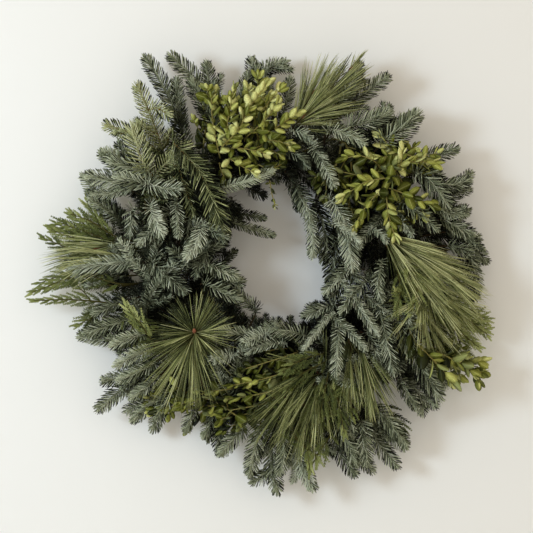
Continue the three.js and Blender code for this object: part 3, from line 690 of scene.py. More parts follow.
def painted_depth_shade(points):
    """How deep points lie inside the wreath, from 0 to 1, which sets how much painted shade darkens
    the needles there.
    """
    radius = np.hypot(points[:, 0], points[:, 2])
    below = np.interp(radius, *SURFACE) + points[:, 1]
    inside = np.minimum(below, -points[:, 1] - BACK_SURFACE)
    return np.clip((inside - PAINTED_SHADE_FROM) / PAINTED_SHADE_OVER, 0, 1)


# No point comes nearer the wall than WALL_ROOM. Depth past FRONT_SOFT is pressed together, into
# FRONT_ROOM at most.
WALL_ROOM = 0.8
FRONT_SOFT = 128.0
FRONT_ROOM = 17.0


class Piece:
    """One mesh in the making."""

    def __init__(self):
        self.spots, self.faces, self.places, self.slots, self.smooth = [], [], [], [], []
        self.count = 0

    def add(self, spots, faces, places, slot, smooth):
        self.spots.append(spots)
        self.faces.append(faces + self.count)
        self.places.append(places)
        self.slots.append(np.full(len(faces), slot))
        self.smooth.append(np.full(len(faces), smooth))
        self.count += len(spots)

    def copies(self, form, root, along, across, size, bow, tint, smooth=True, low=0.0, under=None):
        """Copies of a form. size holds each one's length, half width and height, bow is how far
        its tip bends, low how far up the map its root lies, and under the tint of its underside,
        if it has one of its own."""
        # Painted shade: needles deep inside the wreath are darkened, standing in for the shade
        # among them.
        shade = 1 - PAINTED_SHADE_DARKER * painted_depth_shade(root + along * size[:, :1] * 0.5)
        tint = (tint * shade)[:, None]
        if under is not None:
            tint = np.where(form.under, (under * shade)[:, None], tint)
        normal = np.cross(across, along)
        x, y, z = form.spots.T
        length, width, height = (size[:, i : i + 1, None] for i in range(3))
        spots = root[:, None] + across[:, None] * (x[:, None] * width)
        spots = spots + along[:, None] * (y[:, None] * length)
        spots = spots + normal[:, None] * (z[:, None] * height) + bow[:, None] * (y * y)[:, None]
        faces = form.faces[None] + (np.arange(len(root)) * len(x))[:, None, None]
        column = np.clip(np.floor(tint * TINTS), 0, TINTS - 1)[:, :, None]
        map_x = column + COLUMN_MARGIN + (1 - 2 * COLUMN_MARGIN) * form.places[None, :, :, 0]
        low = np.broadcast_to(low, len(root))[:, None, None]
        map_y = low + (1 - low) * form.places[None, :, :, 1]
        map_y = ROW_MARGIN + (1 - 2 * ROW_MARGIN) * map_y
        places = np.stack([map_x / TINTS * FOLIAGE_SHARE, map_y], -1).reshape(-1, 3, 2)
        self.add(spots.reshape(-1, 3), faces.reshape(-1, 3), places, FOLIAGE, smooth)

    def tube(self, points, radii, sides, slot=BARK, strip=BARK_STRIP):
        """A round bar along points, with flat ends."""
        ahead = unit(np.gradient(points, axis=0))
        side = unit(np.cross(ahead, TUBE_FACING))
        over = np.cross(side, ahead)
        angles = np.arange(sides) * 2 * math.pi / sides
        out = side[:, None] * np.cos(angles)[:, None] + over[:, None] * np.sin(angles)[:, None]
        spots = points[:, None] + out * np.broadcast_to(radii, len(points))[:, None, None]
        spots = np.vstack([spots.reshape(-1, 3), points[:1], points[-1:]])
        run = np.concatenate([[0], np.linalg.norm(np.diff(points, axis=0), axis=1).cumsum()])
        up = np.abs(run / BARK_REPEAT % 2 - 1) * (1 - 2 * ROW_MARGIN) + ROW_MARGIN
        low, high = strip
        corner = np.arange(sides)
        beside = (corner + 1) % sides
        left = low + (high - low) * corner / sides
        right = low + (high - low) * (corner + 1) / sides
        middle = (left + right) / 2
        faces, places = [], []

        def triangles(*corners):
            """One triangle on each side, from its corners' spots and places in the map."""
            faces.append(np.stack([np.broadcast_to(spot, sides) for spot, _, _ in corners], 1))
            pairs = [np.stack(np.broadcast_arrays(x, y), 1) for _, x, y in corners]
            places.append(np.stack(pairs, 1))

        last = len(points) - 1
        for i in range(last):
            near, far = i * sides, (i + 1) * sides
            start = near + corner, left, up[i]
            end = far + beside, right, up[i + 1]
            triangles(start, (near + beside, right, up[i]), end)
            triangles(start, end, (far + corner, left, up[i + 1]))
        for spot, i, turn in ((len(spots) - 2, 0, -1), (len(spots) - 1, last, 1)):
            rim = (i * sides + corner, left, up[i]), (i * sides + beside, right, up[i])
            triangles((spot, middle, abs(up[i] - 2 * ROW_MARGIN)), *rim[::turn])
        self.add(spots, np.vstack(faces), np.vstack(places), slot, True)

    def make(self, name, materials):
        spots = np.vstack(self.spots)
        spots[:, 1] = np.minimum(spots[:, 1], -WALL_ROOM)
        past = np.maximum(-spots[:, 1] - FRONT_SOFT, 0)
        spots[:, 1] += past - FRONT_ROOM * (1 - np.exp(-past / FRONT_ROOM))
        spots = (spots - np.array((0, 0, DROP))) * MM
        faces = np.vstack(self.faces)
        mesh = bpy.data.meshes.new(name)
        mesh.vertices.add(len(spots))
        mesh.vertices.foreach_set("co", spots.astype(np.float32).ravel())
        mesh.loops.add(faces.size)
        mesh.loops.foreach_set("vertex_index", faces.astype(np.int32).ravel())
        mesh.polygons.add(len(faces))
        mesh.polygons.foreach_set("loop_start", np.arange(len(faces), dtype=np.int32) * 3)
        mesh.polygons.foreach_set("material_index", np.concatenate(self.slots).astype(np.int32))
        mesh.polygons.foreach_set("use_smooth", np.concatenate(self.smooth))
        mesh.update(calc_edges=True)
        places = mesh.uv_layers.new(name=MAP)
        places.data.foreach_set("uv", np.vstack(self.places).astype(np.float32).ravel())
        mesh.validate()
        for material in materials:
            mesh.materials.append(material)
        return placed(name, mesh)


def placed(name, data):
    """A new object of the scene."""
    made = bpy.data.objects.new(name, data)
    bpy.context.scene.collection.objects.link(made)
    return made


LINE_STEP = 4.0
HEADING_REACH = 3


class Line:
    """A smooth path through the corners of a shoot: a Catmull-Rom spline."""

    def __init__(self, corners):
        ends = 2 * corners[0] - corners[1], 2 * corners[-1] - corners[-2]
        knots = np.vstack([ends[0], corners, ends[1]])
        points = []
        for before, start, end, after in zip(knots[:-3], knots[1:-2], knots[2:-1], knots[3:]):
            count = max(2, math.ceil(np.linalg.norm(end - start) / LINE_STEP))
            share = (np.arange(count) / count)[:, None]
            linear = (end - before) * share
            square = (2 * before - 5 * start + 4 * end - after) * share * share
            cubic = (3 * start - 3 * end + after - before) * share**3
            points.append(0.5 * (2 * start + linear + square + cubic))
        self.points = np.vstack([*points, corners[-1:]])
        gaps = np.linalg.norm(np.diff(self.points, axis=0), axis=1)
        self.run = np.concatenate([[0], gaps.cumsum()])
        self.length = self.run[-1]

    def at(self, run):
        return np.stack([np.interp(run, self.run, self.points[:, i]) for i in range(3)], -1)

    def heading(self, run):
        run = np.asarray(run, float)
        ahead = self.at(np.minimum(run + HEADING_REACH, self.length))
        return unit(ahead - self.at(np.maximum(run - HEADING_REACH, 0)))


def frames(heading, roll=0.0):
    """Directions across a shoot: sideways as seen from the front, and towards the viewer."""
    side = unit(np.cross(heading, SHOOT_FACING))
    over = np.cross(side, heading)
    cos, sin = math.cos(roll), math.sin(roll)
    return side * cos + over * sin, over * cos - side * sin


def swung(first, second, angles):
    """Directions that start at the first and turn towards the second by an angle each."""
    return first * np.cos(angles)[:, None] + second * np.sin(angles)[:, None]


def twisted(across, along, angles):
    return swung(across, np.cross(across, along), angles)


def square_to(vectors, along):
    return unit(vectors - along * (vectors * along).sum(-1, keepdims=True))


# Foliage. Angles round a shoot are 0 to its right and a quarter turn towards the viewer.

GOLDEN_ANGLE = 2.4

# Firs: the angles at which needles stand, in degrees, and for each kind the needles' length and
# half width, their lean at a shoot's root, near its tip and at its tip, tone and spacing.
FIR_ROWS = (-45, -8, 24, 52, 76, 104, 128, 156, 188, 225)
KINDS = {
    "fir": {"needle": 18, "width": 0.84, "lean": (64, 60, 50), "tone": 0.5, "spacing": 3.8},
    "silver": {"needle": 17, "width": 0.84, "lean": (62, 58, 50), "tone": 0.6, "spacing": 3.7},
    "green": {"needle": 19, "width": 0.8, "lean": (66, 62, 50), "tone": 0.66, "spacing": 4.2},
}

# SMALL_FINER is the part of a shoot's scale that the thickness and the spacing of its needles
# take. LEAN_AT and ROOT_NEEDLES go by the shoot's length, and BARE_TIP, TIP_NEEDLES and how far
# needles bow by a needle's. Needles over the stem start beyond it and above it, by the share that
# they are on top times CROSSED and RAISED, and their own roots, which carry the painted shade of
# where needles crowd at the stem, are left out.
SMALL_FINER = 0.3
COMB_SHIFT = 0.25
LEAN_AT = (0, 0.8, 1)
TUFT = 28
TUFT_DEPTH = 5
TUFT_LEAN = (4, 66)
BARE_TIP = 0.4
BESIDE = 0.3
OVER_LEAN = 0.8
MOST_LEAN = 78
TIP_NEEDLES = ((0, 0.9, 1.8), (0.62, 0.9, 1))
ROOT_NEEDLES = ((0, 0.2), (0.85, 1))
BOW_AHEAD = 0.32
BOW_OUT = 0.08
CROSSED = 4.4
RAISED = 3
CROSSED_MAP = 0.4
# Painted shade on the rows on a shoot's back side, and painted light on its top rows, which face
# the lamps.
BACK_ROW_PAINTED_SHADE = 0.5
TOP_PAINTED_LIGHT = 0.16
TIP_PALER = 0.2


def dress_fir(piece, line, draw, look, tone, start, scale, form=NEEDLE):
    """Combs of needles along a shoot. The rows beside it lean so that they look parallel from the
    front, those over it start across its stem and lean forward, and a tuft closes its end."""
    finer = 1 - SMALL_FINER + SMALL_FINER * scale
    spacing = look["spacing"] * finer
    size = look["needle"] * scale
    end = line.length - BARE_TIP * size
    count = max(4, round((end - start) / spacing))
    rows = np.radians(FIR_ROWS)
    step = (np.arange(count) + 0.5) / count
    run = start + (end - start) * np.tile(step, len(rows))
    angle = np.repeat(rows, count)
    run = run + spacing * COMB_SHIFT * np.sign(np.cos(angle)) + draw.normal(0, 0.25, len(run))
    angle = angle + draw.normal(0, 0.06, len(run))
    run = np.concatenate([run, end - draw.uniform(0, TUFT_DEPTH, TUFT)])
    run = np.clip(run, 0, end)
    angle = np.concatenate([angle, np.arange(TUFT) * GOLDEN_ANGLE])
    share = run / end
    lean = np.radians(np.interp(share, LEAN_AT, look["lean"]))
    beside = np.abs(np.cos(angle))
    flat_lean = np.arctan(np.tan(lean) / np.maximum(beside, BESIDE))
    lean = np.where(beside > BESIDE, flat_lean, lean * OVER_LEAN)
    lean = np.minimum(lean, np.radians(MOST_LEAN)) + draw.normal(0, 0.06, len(run))
    lean[-TUFT:] = np.radians(draw.uniform(*TUFT_LEAN, TUFT))
    length = size * np.interp((end - run) / size, *TIP_NEEDLES) * draw.uniform(0.86, 1.08, len(run))
    length = length * np.interp(share, *ROOT_NEEDLES)
    root, heading = line.at(run), line.heading(run)
    side, over = frames(heading, draw.uniform(-0.4, 0.4))
    along = swung(heading, swung(side, over, angle), lean)
    across = twisted(square_to(heading, along), along, draw.normal(0, 0.25, len(run)))
    across = across * np.sign((np.cross(across, along) * FACING).sum(1, keepdims=True))
    bow = (heading * BOW_AHEAD + over * BOW_OUT) * length[:, None]
    width = look["width"] * finer * draw.uniform(0.85, 1.1, len(run))
    sizes = np.stack([length, width, width * 0.5], 1)
    facing = np.sin(angle)
    on_top = np.clip(facing - 0.3, 0, 0.5)
    crossed = -side * (np.sign(np.cos(angle)) * on_top * CROSSED)[:, None]
    root = root + crossed + over * (on_top * RAISED)[:, None]
    # Painted light and shade: rows on top of the shoot are painted paler, and rows on its back side
    # darker.
    painted_lighting = np.where(facing < 0.1, -BACK_ROW_PAINTED_SHADE, TOP_PAINTED_LIGHT * facing)
    tint = tone + TIP_PALER * np.clip(share - 0.6, 0, 1) + painted_lighting
    tint = tint + draw.normal(0, 0.25, len(run))
    under = tone + draw.normal(0, 0.15, len(run))
    low = on_top * CROSSED_MAP
    piece.copies(form, root, along, across, sizes, bow, tint, low=low, under=under)


BUNDLE = 5
PINE_HALF_WIDTH = 0.48
PINE_HEIGHT = 0.4


def dress_pine(piece, line, draw, tone, start, leans, length, apart, splay):
    """Bundles of long needles round a shoot, at golden angles."""
    dressed = line.length - start
    count = max(8, round(dressed / apart))
    run = np.repeat(start + dressed * (np.arange(count) + 0.5) / count, BUNDLE)
    share = (run - start) / max(1e-6, dressed)
    angle = np.arange(count) * GOLDEN_ANGLE + draw.normal(0, 0.3 * splay, count)
    angle = np.repeat(angle, BUNDLE)
    angle = angle + draw.normal(0, 0.09, len(run)) * splay
    lean = np.interp(share, (0, 1), leans) + np.repeat(draw.normal(0, 5, count), BUNDLE)
    lean = np.radians(lean + draw.normal(0, 2.4, len(run)) * splay)
    root, heading = line.at(run), line.heading(run)
    side, over = frames(heading)
    out = swung(side, over, angle)
    along = swung(heading, out, lean)
    across = twisted(square_to(FACING + out, along), along, draw.uniform(0, 3, len(run)))
    lengths = length * draw.uniform(0.8, 1.04, len(run))
    bow = (heading * 0.05 + at(0, 0, -0.05)) * lengths[:, None]
    bow = bow + np.repeat(draw.normal(0, 2.5, (count, 3)), BUNDLE, axis=0)
    widths = np.full(len(run), PINE_HALF_WIDTH)
    sizes = np.stack([lengths, widths, np.full(len(run), PINE_HEIGHT)], 1)
    tint = tone + np.repeat(draw.normal(0, 0.17, count), BUNDLE) + draw.normal(0, 0.19, len(run))
    piece.copies(LONG_NEEDLE, root, along, across, sizes, bow, tint)


PAIRS_APART = 9.0
PAIR_TURN = math.pi / 2
BOXWOOD_LEAN = (62, 26)
BOXWOOD_LEAVES = ((0, 0.3, 1), (0.95, 1.1, 0.75))
LEAF_HEIGHT = 0.35
LEAF_OFF_STEM = 0.6


def dress_boxwood(piece, line, draw, tone, start, leaf):
    """Opposite pairs of leaves, each pair turned a quarter from the last, and a last pair at the
    tip."""
    count = max(3, round((line.length - start) / PAIRS_APART))
    step = (np.arange(count) + 0.5) / count
    run = np.repeat(start + (line.length - start) * step, 2)
    angle = np.repeat(np.arange(count) * PAIR_TURN + 0.4, 2)
    angle = angle + np.tile([0, math.pi], count) + draw.normal(0, 0.25, len(run))
    run = np.append(run, [line.length, line.length])
    share = np.append(np.repeat(step, 2), [1, 1])
    angle = np.append(angle, draw.uniform(0, 6, 2))
    lean = np.radians(np.interp(share, (0, 1), BOXWOOD_LEAN) + draw.normal(0, 8, len(run)))
    root, heading = line.at(run), line.heading(run)
    side, over = frames(heading)
    out = swung(side, over, angle)
    along = swung(heading, out, lean)
    normal = heading * 0.6 + FACING * 0.7 + draw.normal(0, 0.55, (len(run), 3))
    normal = square_to(normal, along)
    across = np.cross(along, normal)
    length = leaf * np.interp(share, *BOXWOOD_LEAVES) * draw.uniform(0.78, 1.2, len(run))
    width = length * draw.uniform(0.22, 0.34, len(run))
    bow = -normal * (length * draw.uniform(0.02, 0.2, len(run)))[:, None]
    sizes = np.stack([length, width, np.full(len(run), LEAF_HEIGHT)], 1)
    tint = tone + 0.26 * (share - 0.5) + draw.normal(0, 0.2, len(run))
    piece.copies(LEAF, root + out * LEAF_OFF_STEM, along, across, sizes, bow, tint)


BRANCHLETS_APART = 7.0
BRANCHLET_LEAN = (34, 16)
BRANCHLET_LENGTHS = ((0, 0.25, 1), (20, 34, 13))
BRANCHLET_SIZE = (0.85, 0.6)
SCALE_SHARES = np.arange(0.14, 0.95, 0.115)
SCALE_LEAN = 31
SCALE_LONGEST = 6.5
SCALE_SIZE = (0.68, 0.5)
TIP_SCALE = (10.0, 1.1, 0.7)


def dress_cedar(piece, line, draw, tone, start):
    """Flat fans: side branchlets in one plane, with scales on both sides of each, and one scale
    over the shoot's tip."""
    roll = draw.uniform(-0.3, 0.3)
    count = max(6, round((line.length - start) / BRANCHLETS_APART))
    step = (np.arange(count) + 0.5) / count
    run = start + (line.length - start) * step
    hand = np.where(np.arange(count) % 2, 1.0, -1.0)
    root, heading = line.at(run), line.heading(run)
    side, over = frames(heading, roll)
    lean = np.radians(np.interp(step, (0, 1), BRANCHLET_LEAN) + draw.normal(0, 4, count))
    along = swung(heading, side * hand[:, None], lean)
    length = np.interp(step, *BRANCHLET_LENGTHS) * draw.uniform(0.85, 1.12, count)
    bow = (heading * 0.18 + over * draw.normal(0.03, 0.06, (count, 1))) * length[:, None]
    tint = tone + 0.25 * (step - 0.5) + draw.normal(0, 0.08, count)
    sizes = np.column_stack([length, np.tile(BRANCHLET_SIZE, (count, 1))])
    piece.copies(BRANCHLET, root, along, np.cross(along, over), sizes, bow, tint)
    for share in SCALE_SHARES:
        for scale_hand in (-1.0, 1.0):
            base = root + along * (length * share)[:, None] + bow * share * share
            ahead = unit(along + bow * 2 * share / length[:, None])
            turn = np.radians(draw.normal(SCALE_LEAN, 5, count))
            out = swung(ahead, np.cross(over, ahead) * scale_hand, turn)
            short = np.minimum(length * 0.24 * (1.15 - share), SCALE_LONGEST)
            short = short * draw.uniform(0.8, 1.2, count)
            sizes = np.column_stack([short + 1.5, np.tile(SCALE_SIZE, (count, 1))])
            scale_bow = ahead * (short * 0.15)[:, None]
            scale_tint = tint + 0.12 * share + draw.normal(0, 0.06, count)
            piece.copies(SCALE, base, out, np.cross(out, over), sizes, scale_bow, scale_tint)
    end = [line.length - 1]
    tip, ahead = line.at(end), line.heading(end)
    across = np.cross(ahead, frames(ahead, roll)[1])
    sizes = np.array([TIP_SCALE])
    piece.copies(SCALE, tip, ahead, across, sizes, 0 * tip, tint[-1:], smooth=False)


# Extra side shoots, so that the sprays close up into a full ring. They stay out of the hole, within
# the box and off the notches, where bare wall shows between sprays, each a centre and a radius.

HOLE_CENTRE = (6.0, 18.0)
HOLE_HALF = (68.0, 93.0)
FRONT_LIMIT = 128.0
BACK_LIMIT = 14.0
BOX_LOW = (-366.0, -338.0)
BOX_HIGH = (319.0, 325.0)
NOTCHES = (((-156, 255), 22), ((-243, 92), 12), ((-345, -80), 30), ((87, -293), 16))
NOTCH_ROOM = 12.0


def off_notches(path):
    places = np.vstack([path, (path[1:] + path[:-1]) / 2])[:, (0, 2)]
    return all(
        np.linalg.norm(places - centre, axis=1).min() > radius + NOTCH_ROOM
        for centre, radius in NOTCHES
    )


def in_hole(point):
    x = (point[0] - HOLE_CENTRE[0]) / HOLE_HALF[0]
    z = (point[2] - HOLE_CENTRE[1]) / HOLE_HALF[1]
    return x * x + z * z < 1


def kept(point):
    inside = BOX_LOW[0] < point[0] < BOX_HIGH[0] and BOX_LOW[1] < point[2] < BOX_HIGH[1]
    return inside and not in_hole(point)


# From which share of a stem to which they grow, how far apart they are, their reach, their lean in
# degrees and the range of how far they rise towards the viewer.
SIDE_SHOOTS = {
    "fir": (0.28, 0.68, 25, 50, 36, (-0.1, 0.45)),
    "fir_side": (0.2, 0.68, 30, 34, 36, (-0.1, 0.45)),
    "companion": (0.3, 0.86, 30, 50, 36, (-0.1, 0.45)),
    "boxwood": (0.5, 0.93, 15, 44, 38, (-0.3, 0.9)),
    "cedar": (0.3, 0.8, 30, 60, 40, (-0.1, 0.2)),
}


def side_shoots(line, draw, row):
    """Paths of extra side shoots, on alternate sides of a stem."""
    first, last, spacing, reach, lean, lift = SIDE_SHOOTS[row]
    paths = []
    run = first * line.length + draw.uniform(0, spacing)
    hand = draw.choice((-1.0, 1.0))
    while run < last * line.length:
        left = 1 - run / line.length
        size = reach * (0.5 + 0.6 * left) * draw.uniform(0.8, 1.15)
        root, heading = line.at([run])[0], line.heading([run])
        side, over = frames(heading)
        turn = math.radians(lean + draw.normal(0, 6))
        out = unit(side[0] * hand + over[0] * draw.uniform(*lift))
        ahead = unit(heading[0] * math.cos(turn) + out * math.sin(turn))
        tip = root + ahead * size + heading[0] * 0.18 * size
        tip[1] = -min(FRONT_LIMIT, max(BACK_LIMIT, -tip[1]))
        path = np.array([root, root + ahead * 0.5 * size, tip])
        if kept(tip) and off_notches(path):
            paths.append(path)
        hand = -hand
        run += spacing * draw.uniform(0.8, 1.2)
    return paths


def hole_edge(bearing):
    """How far the edge of the hole is from the ring's centre at a bearing."""
    out = outward(bearing)
    radius = 20.0
    while in_hole(out * radius):
        radius += 2.0
    return radius


# Stems bound on beside a spray's own, from the same place: one that leans into the hole's edge,
# one along the frame and one outside it. Each row is how far ahead the tip is, in degrees, whether
# its distance counts from the hole's edge, the range of that distance and that of its depth.
COMPANIONS = (
    (34, True, (16, 30), (24, 62)),
    (40, False, (150, 176), (34, 74)),
    (34, False, (198, 224), (24, 50)),
)
COMPANION_OUT = 6
COMPANION_BARE = 25
COMPANION_SCALE = 0.88


def companions(bearing, draw):
    paths = []
    for sweep, from_edge, reach, depth in COMPANIONS:
        turn = bearing + sweep * draw.uniform(0.75, 1.15)
        radius = draw.uniform(*reach) + (hole_edge(turn) if from_edge else 0)
        tip = outward(turn) * radius + at(0, draw.uniform(*depth), 0)
        root = outward(bearing) * (FOOT_START + COMPANION_OUT) + at(0, FOOT_DEPTH + 1, 0)
        half = bearing + (turn - bearing) * 0.5
        middle = outward(half) * (radius * 0.55 + FOOT_START * 0.45 + COMPANION_OUT)
        paths.append(np.array([root, middle + at(0, -tip[1] * 0.6, 0), tip]))
    return [path for path in paths if off_notches(path)]


# The shoots of each pine: the last places of its stem, over what length from its end it has
# needles, their lean at the start and the end, in degrees, their length, and how far apart the
# bundles are. BUD is the places along a bud, from the end of the stem, and its radii there.
# BRUSH_SPLAY is how much more the needles of the brush that faces the viewer spread.
PINE_SHOOTS = {
    "pine_left": [
        ([(-232, 74, 32), (-270, 72, 26)], 34, (22, 7), 90, 1.0),
        ([(-222, 82, 14), (-256, 80, 12)], 30, (24, 8), 86, 1.0),
    ],
    "pine_right": [
        ([(148, 90, 54), (230, 94, -2)], 94, (30, 10), 92, 1.2),
        ([(152, 82, 44), (216, 86, -30)], 82, (30, 10), 92, 1.2),
    ],
    "pine_right_low": [
        ([(208, 80, -60), (222, 74, -84)], 70, (34, 10), 84, 1.2),
        ([(236, 66, -40), (258, 58, -56)], 70, (34, 10), 78, 1.2),
    ],
    "pine_top": [
        ([(34, 72, 218), (72, 78, 252)], 52, (34, 10), 84, 1.0),
        ([(26, 60, 226), (50, 60, 258)], 40, (34, 12), 78, 1.0),
        ([(10, 78, 200), (34, 86, 220)], 22, (46, 16), 74, 0.8),
        ([(84, 78, 262), (104, 74, 290)], 12, (5, 2), 46, 2.0),
    ],
    "pine_bottom": [
        ([(50, 84, -150), (12, 88, -192)], 60, (36, 12), 92, 1.2),
        ([(62, 76, -158), (38, 80, -206)], 60, (38, 12), 86, 1.2),
        ([(66, 74, -156), (56, 80, -196)], 44, (30, 12), 84, 1.5),
    ],
    "pine_bottom_right": [
        ([(118, 86, -98), (122, 92, -124), (126, 94, -146)], 46, (24, 8), 86, 1.0),
        ([(108, 80, -100), (106, 86, -128), (104, 86, -150)], 46, (24, 8), 80, 1.2),
    ],
    "pine_brush": [
        ([(-119, 78, -100), (-125, 96, -103), (-126, 110, -97)], 20, (88, 58), 66, 0.46),
        ([(-118, 72, -92), (-126, 94, -100), (-130, 102, -112)], 16, (60, 18), 104, 0.4),
    ],
}
BUD = ((-2, 0, 4, 8, 11), (1.6, 2.8, 3.0, 2.1, 0.5))
BUD_SIDES = 6
BRUSH_SPLAY = 2.4


def dress_pine_shoots(piece, name, path, draw, tone):
    splay = BRUSH_SPLAY if name == "pine_brush" else 1.0
    for places, dressed, leans, length, apart in PINE_SHOOTS[name]:
        line = Line(np.array([*path[:-2], *(at(*place) for place in places)]))
        stem(piece, line, "pine")
        shade = tone + draw.normal(0, 0.03)
        start = line.length - dressed
        dress_pine(piece, line, draw, shade, start, leans, length, apart, splay)
        end, ahead = line.points[-1], line.heading([line.length])[0]
        bud = end + ahead * np.array(BUD[0])[:, None]
        piece.tube(bud, np.array(BUD[1]), BUD_SIDES, strip=BUD_STRIP)


# Tone of each spray's foliage where it is not its kind's own, from 0, darkest, to 1, palest.
TONES = {
    "silver_left_face": 0.44,
    "silver_right_low": 0.5,
    "silver_lower_right": 0.5,
    "fir_lower_right_face": 0.48,
    "silver_hole_low": 0.48,
    "green_upper_left": 0.72,
    "fir_upper_left_side": 0.58,
    "fir_left_upper": 0.58,
    "boxwood_top": 0.7,
    "boxwood_top_left": 0.6,
    "boxwood_right_high": 0.54,
    "boxwood_right_low": 0.5,
    "boxwood_bottom": 0.26,
    "boxwood_bottom_left": 0.34,
    "boxwood_lower_right": 0.5,
    "pine_right": 0.68,
    "pine_right_low": 0.7,
    "pine_left": 0.68,
    "pine_top": 0.64,
    "pine_bottom": 0.44,
    "pine_bottom_right": 0.62,
    "pine_brush": 0.5,
    "cedar_left_low": 0.58,
    "cedar_left_high": 0.56,
    "cedar_right_edge": 0.62,
    "cedar_right_face": 0.55,
    "cedar_bottom": 0.5,
}

# A shoot on the face is painted a little paler than its row says, painted light on the front
# layer, and a fir's is of full size at SHOOT_WIDTH. Its hidden root is between two distances from
# the ring's centre.
FACE_PAINTED_LIGHT = 0.06
SHOOT_WIDTH = 33.0
FACE_ROOT = (130.0, 195.0)
FACE_ROOT_DEPTH = FOOT_DEPTH + 3

# How far from their roots stems, their side shoots and twigs are bare. BOXWOOD_BARE is a share of
# the length.
STEM_BARE = 45.0
SIDE_BARE = 6.0
TWIG_BARE = 3
BOXWOOD_BARE = 0.45
BOXWOOD_TWIG_BARE = 4
CEDAR_TWIG_BARE = 5

# How much darker a fir's twigs are than its stem, which for the companions' twigs is painted
# shade, how much their tone varies and the range of their scale, which is full at TWIG_LENGTH.
FIR_TWIGS = {
    "fir": (0, 0.08, (0.68, 0.95)),
    "fir_side": (0, 0.08, (0.68, 0.95)),
    "companion": (0.1, 0.1, (0.62, 0.85)),
}
TWIG_LENGTH = 62

# The bark of each kind of shoot: its radii at the root and at the tip, and how many sides it has.
STEMS = {
    "fir": (2.6, 0.9, 6),
    "fir_side": (1.9, 0.9, 6),
    "fir_twig": (1.4, 0.6, 5),
    "fir_side_twig": (1.4, 0.6, 5),
    "fir_face": (1.8, 0.7, 5),
    "companion": (2.0, 0.9, 5),
    "companion_twig": (1.3, 0.6, 4),
    "pine": (2.4, 1.2, 6),
    "boxwood": (2.4, 0.7, 6),
    "boxwood_side": (1.6, 0.7, 6),
    "boxwood_twig": (0.9, 0.5, 5),
    "boxwood_face": (1.3, 0.7, 5),
    "cedar": (2.2, 0.8, 6),
    "cedar_side": (1.7, 0.8, 6),
    "cedar_twig": (1.1, 0.6, 5),
    "cedar_face": (1.3, 0.7, 5),
}
BEARINGS = {name: bearing for name, _, bearing, _ in SPRAYS + INNER_SPRAYS}
INNER_NAMES = {name for name, _, _, _ in INNER_SPRAYS}


def stem(piece, line, row):
    thick, thin, sides = STEMS[row]
    share = line.run / line.length
    piece.tube(line.points, thick + (thin - thick) * share, sides)


def face_line(corners):
    """The path of a shoot on the face, from a hidden root, and where along it its needles start."""
    corners = [at(*corner) for corner in corners]
    base = corners[0]
    radius = math.hypot(base[0], base[2])
    nearest, furthest = FACE_ROOT
    root = base * min(max(radius, nearest), furthest) / radius
    root[1] = -FACE_ROOT_DEPTH
    line = Line(np.array([root, *corners]))
    near = np.linalg.norm(line.points - base, axis=1).argmin()
    return line, float(line.run[near])


def fir_twigs(piece, line, draw, look, tone, row):
    """The extra side shoots of a fir's stem, each at the scale of its length."""
    darker, vary, scales = FIR_TWIGS[row]
    for path in side_shoots(line, draw, row):
        twig = Line(path)
        stem(piece, twig, f"{row}_twig")
        shade = tone - darker + draw.normal(0, vary)
        scale = float(np.clip(twig.length / TWIG_LENGTH, *scales))
        dress_fir(piece, twig, draw, look, shade, TWIG_BARE, scale, SHORT_NEEDLE)


def dress_companions(piece, name, draw, look, tone):
    for path in companions(BEARINGS[name], draw):
        line = Line(path)
        stem(piece, line, "companion")
        # Painted shade: companions lie under the face shoots, so their foliage is painted darker.
        shade = tone - 0.12 + draw.normal(0, 0.1)
        dress_fir(piece, line, draw, look, shade, COMPANION_BARE, COMPANION_SCALE, SHORT_NEEDLE)
        fir_twigs(piece, line, draw, look, tone, "companion")


def dress_face_shoots(piece, name, kind, draw):
    for corners, across, tone in FACE_SHOOTS.get(name, []):
        line, start = face_line(corners)
        stem(piece, line, "fir_face" if kind in KINDS else f"{kind}_face")
        if kind in KINDS:
            # Painted light: shoots on the face are painted paler than the layers under them.
            painted_lighting, scale = tone + FACE_PAINTED_LIGHT, across / SHOOT_WIDTH
            dress_fir(piece, line, draw, KINDS[kind], painted_lighting, start, scale)
        elif kind == "boxwood":
            dress_boxwood(piece, line, draw, tone, start, across)
        else:
            dress_cedar(piece, line, draw, tone, start)


def dress_fir_shoot(piece, line, draw, look, tone, main, inner):
    """A fir's stem or side shoot. Side shoots in the hole are small and have no twigs."""
    row = "fir" if main else "fir_side"
    stem(piece, line, row)
    shade = tone + draw.normal(0, 0.05)
    if inner and not main:
        dress_fir(piece, line, draw, look, shade, SIDE_BARE, 0.6)
        return
    start, scale = (STEM_BARE, 1.0) if main else (SIDE_BARE, 0.92)
    dress_fir(piece, line, draw, look, shade, start, scale)
    fir_twigs(piece, line, draw, look, tone, row)


def dress_boxwood_shoot(piece, line, draw, tone, main):
    stem(piece, line, "boxwood" if main else "boxwood_side")
    dress_boxwood(piece, line, draw, tone, line.length * BOXWOOD_BARE, 20)
    for path in side_shoots(line, draw, "boxwood"):
        twig = Line(path)
        stem(piece, twig, "boxwood_twig")
        shade = tone + draw.normal(0, 0.07)
        dress_boxwood(piece, twig, draw, shade, BOXWOOD_TWIG_BARE, draw.uniform(14, 21))


def dress_cedar_shoot(piece, line, draw, tone, main):
    stem(piece, line, "cedar" if main else "cedar_side")
    dress_cedar(piece, line, draw, tone, STEM_BARE if main else SIDE_BARE)
    for path in side_shoots(line, draw, "cedar"):
        twig = Line(path)
        stem(piece, twig, "cedar_twig")
        dress_cedar(piece, twig, draw, tone + draw.normal(0, 0.06), CEDAR_TWIG_BARE)


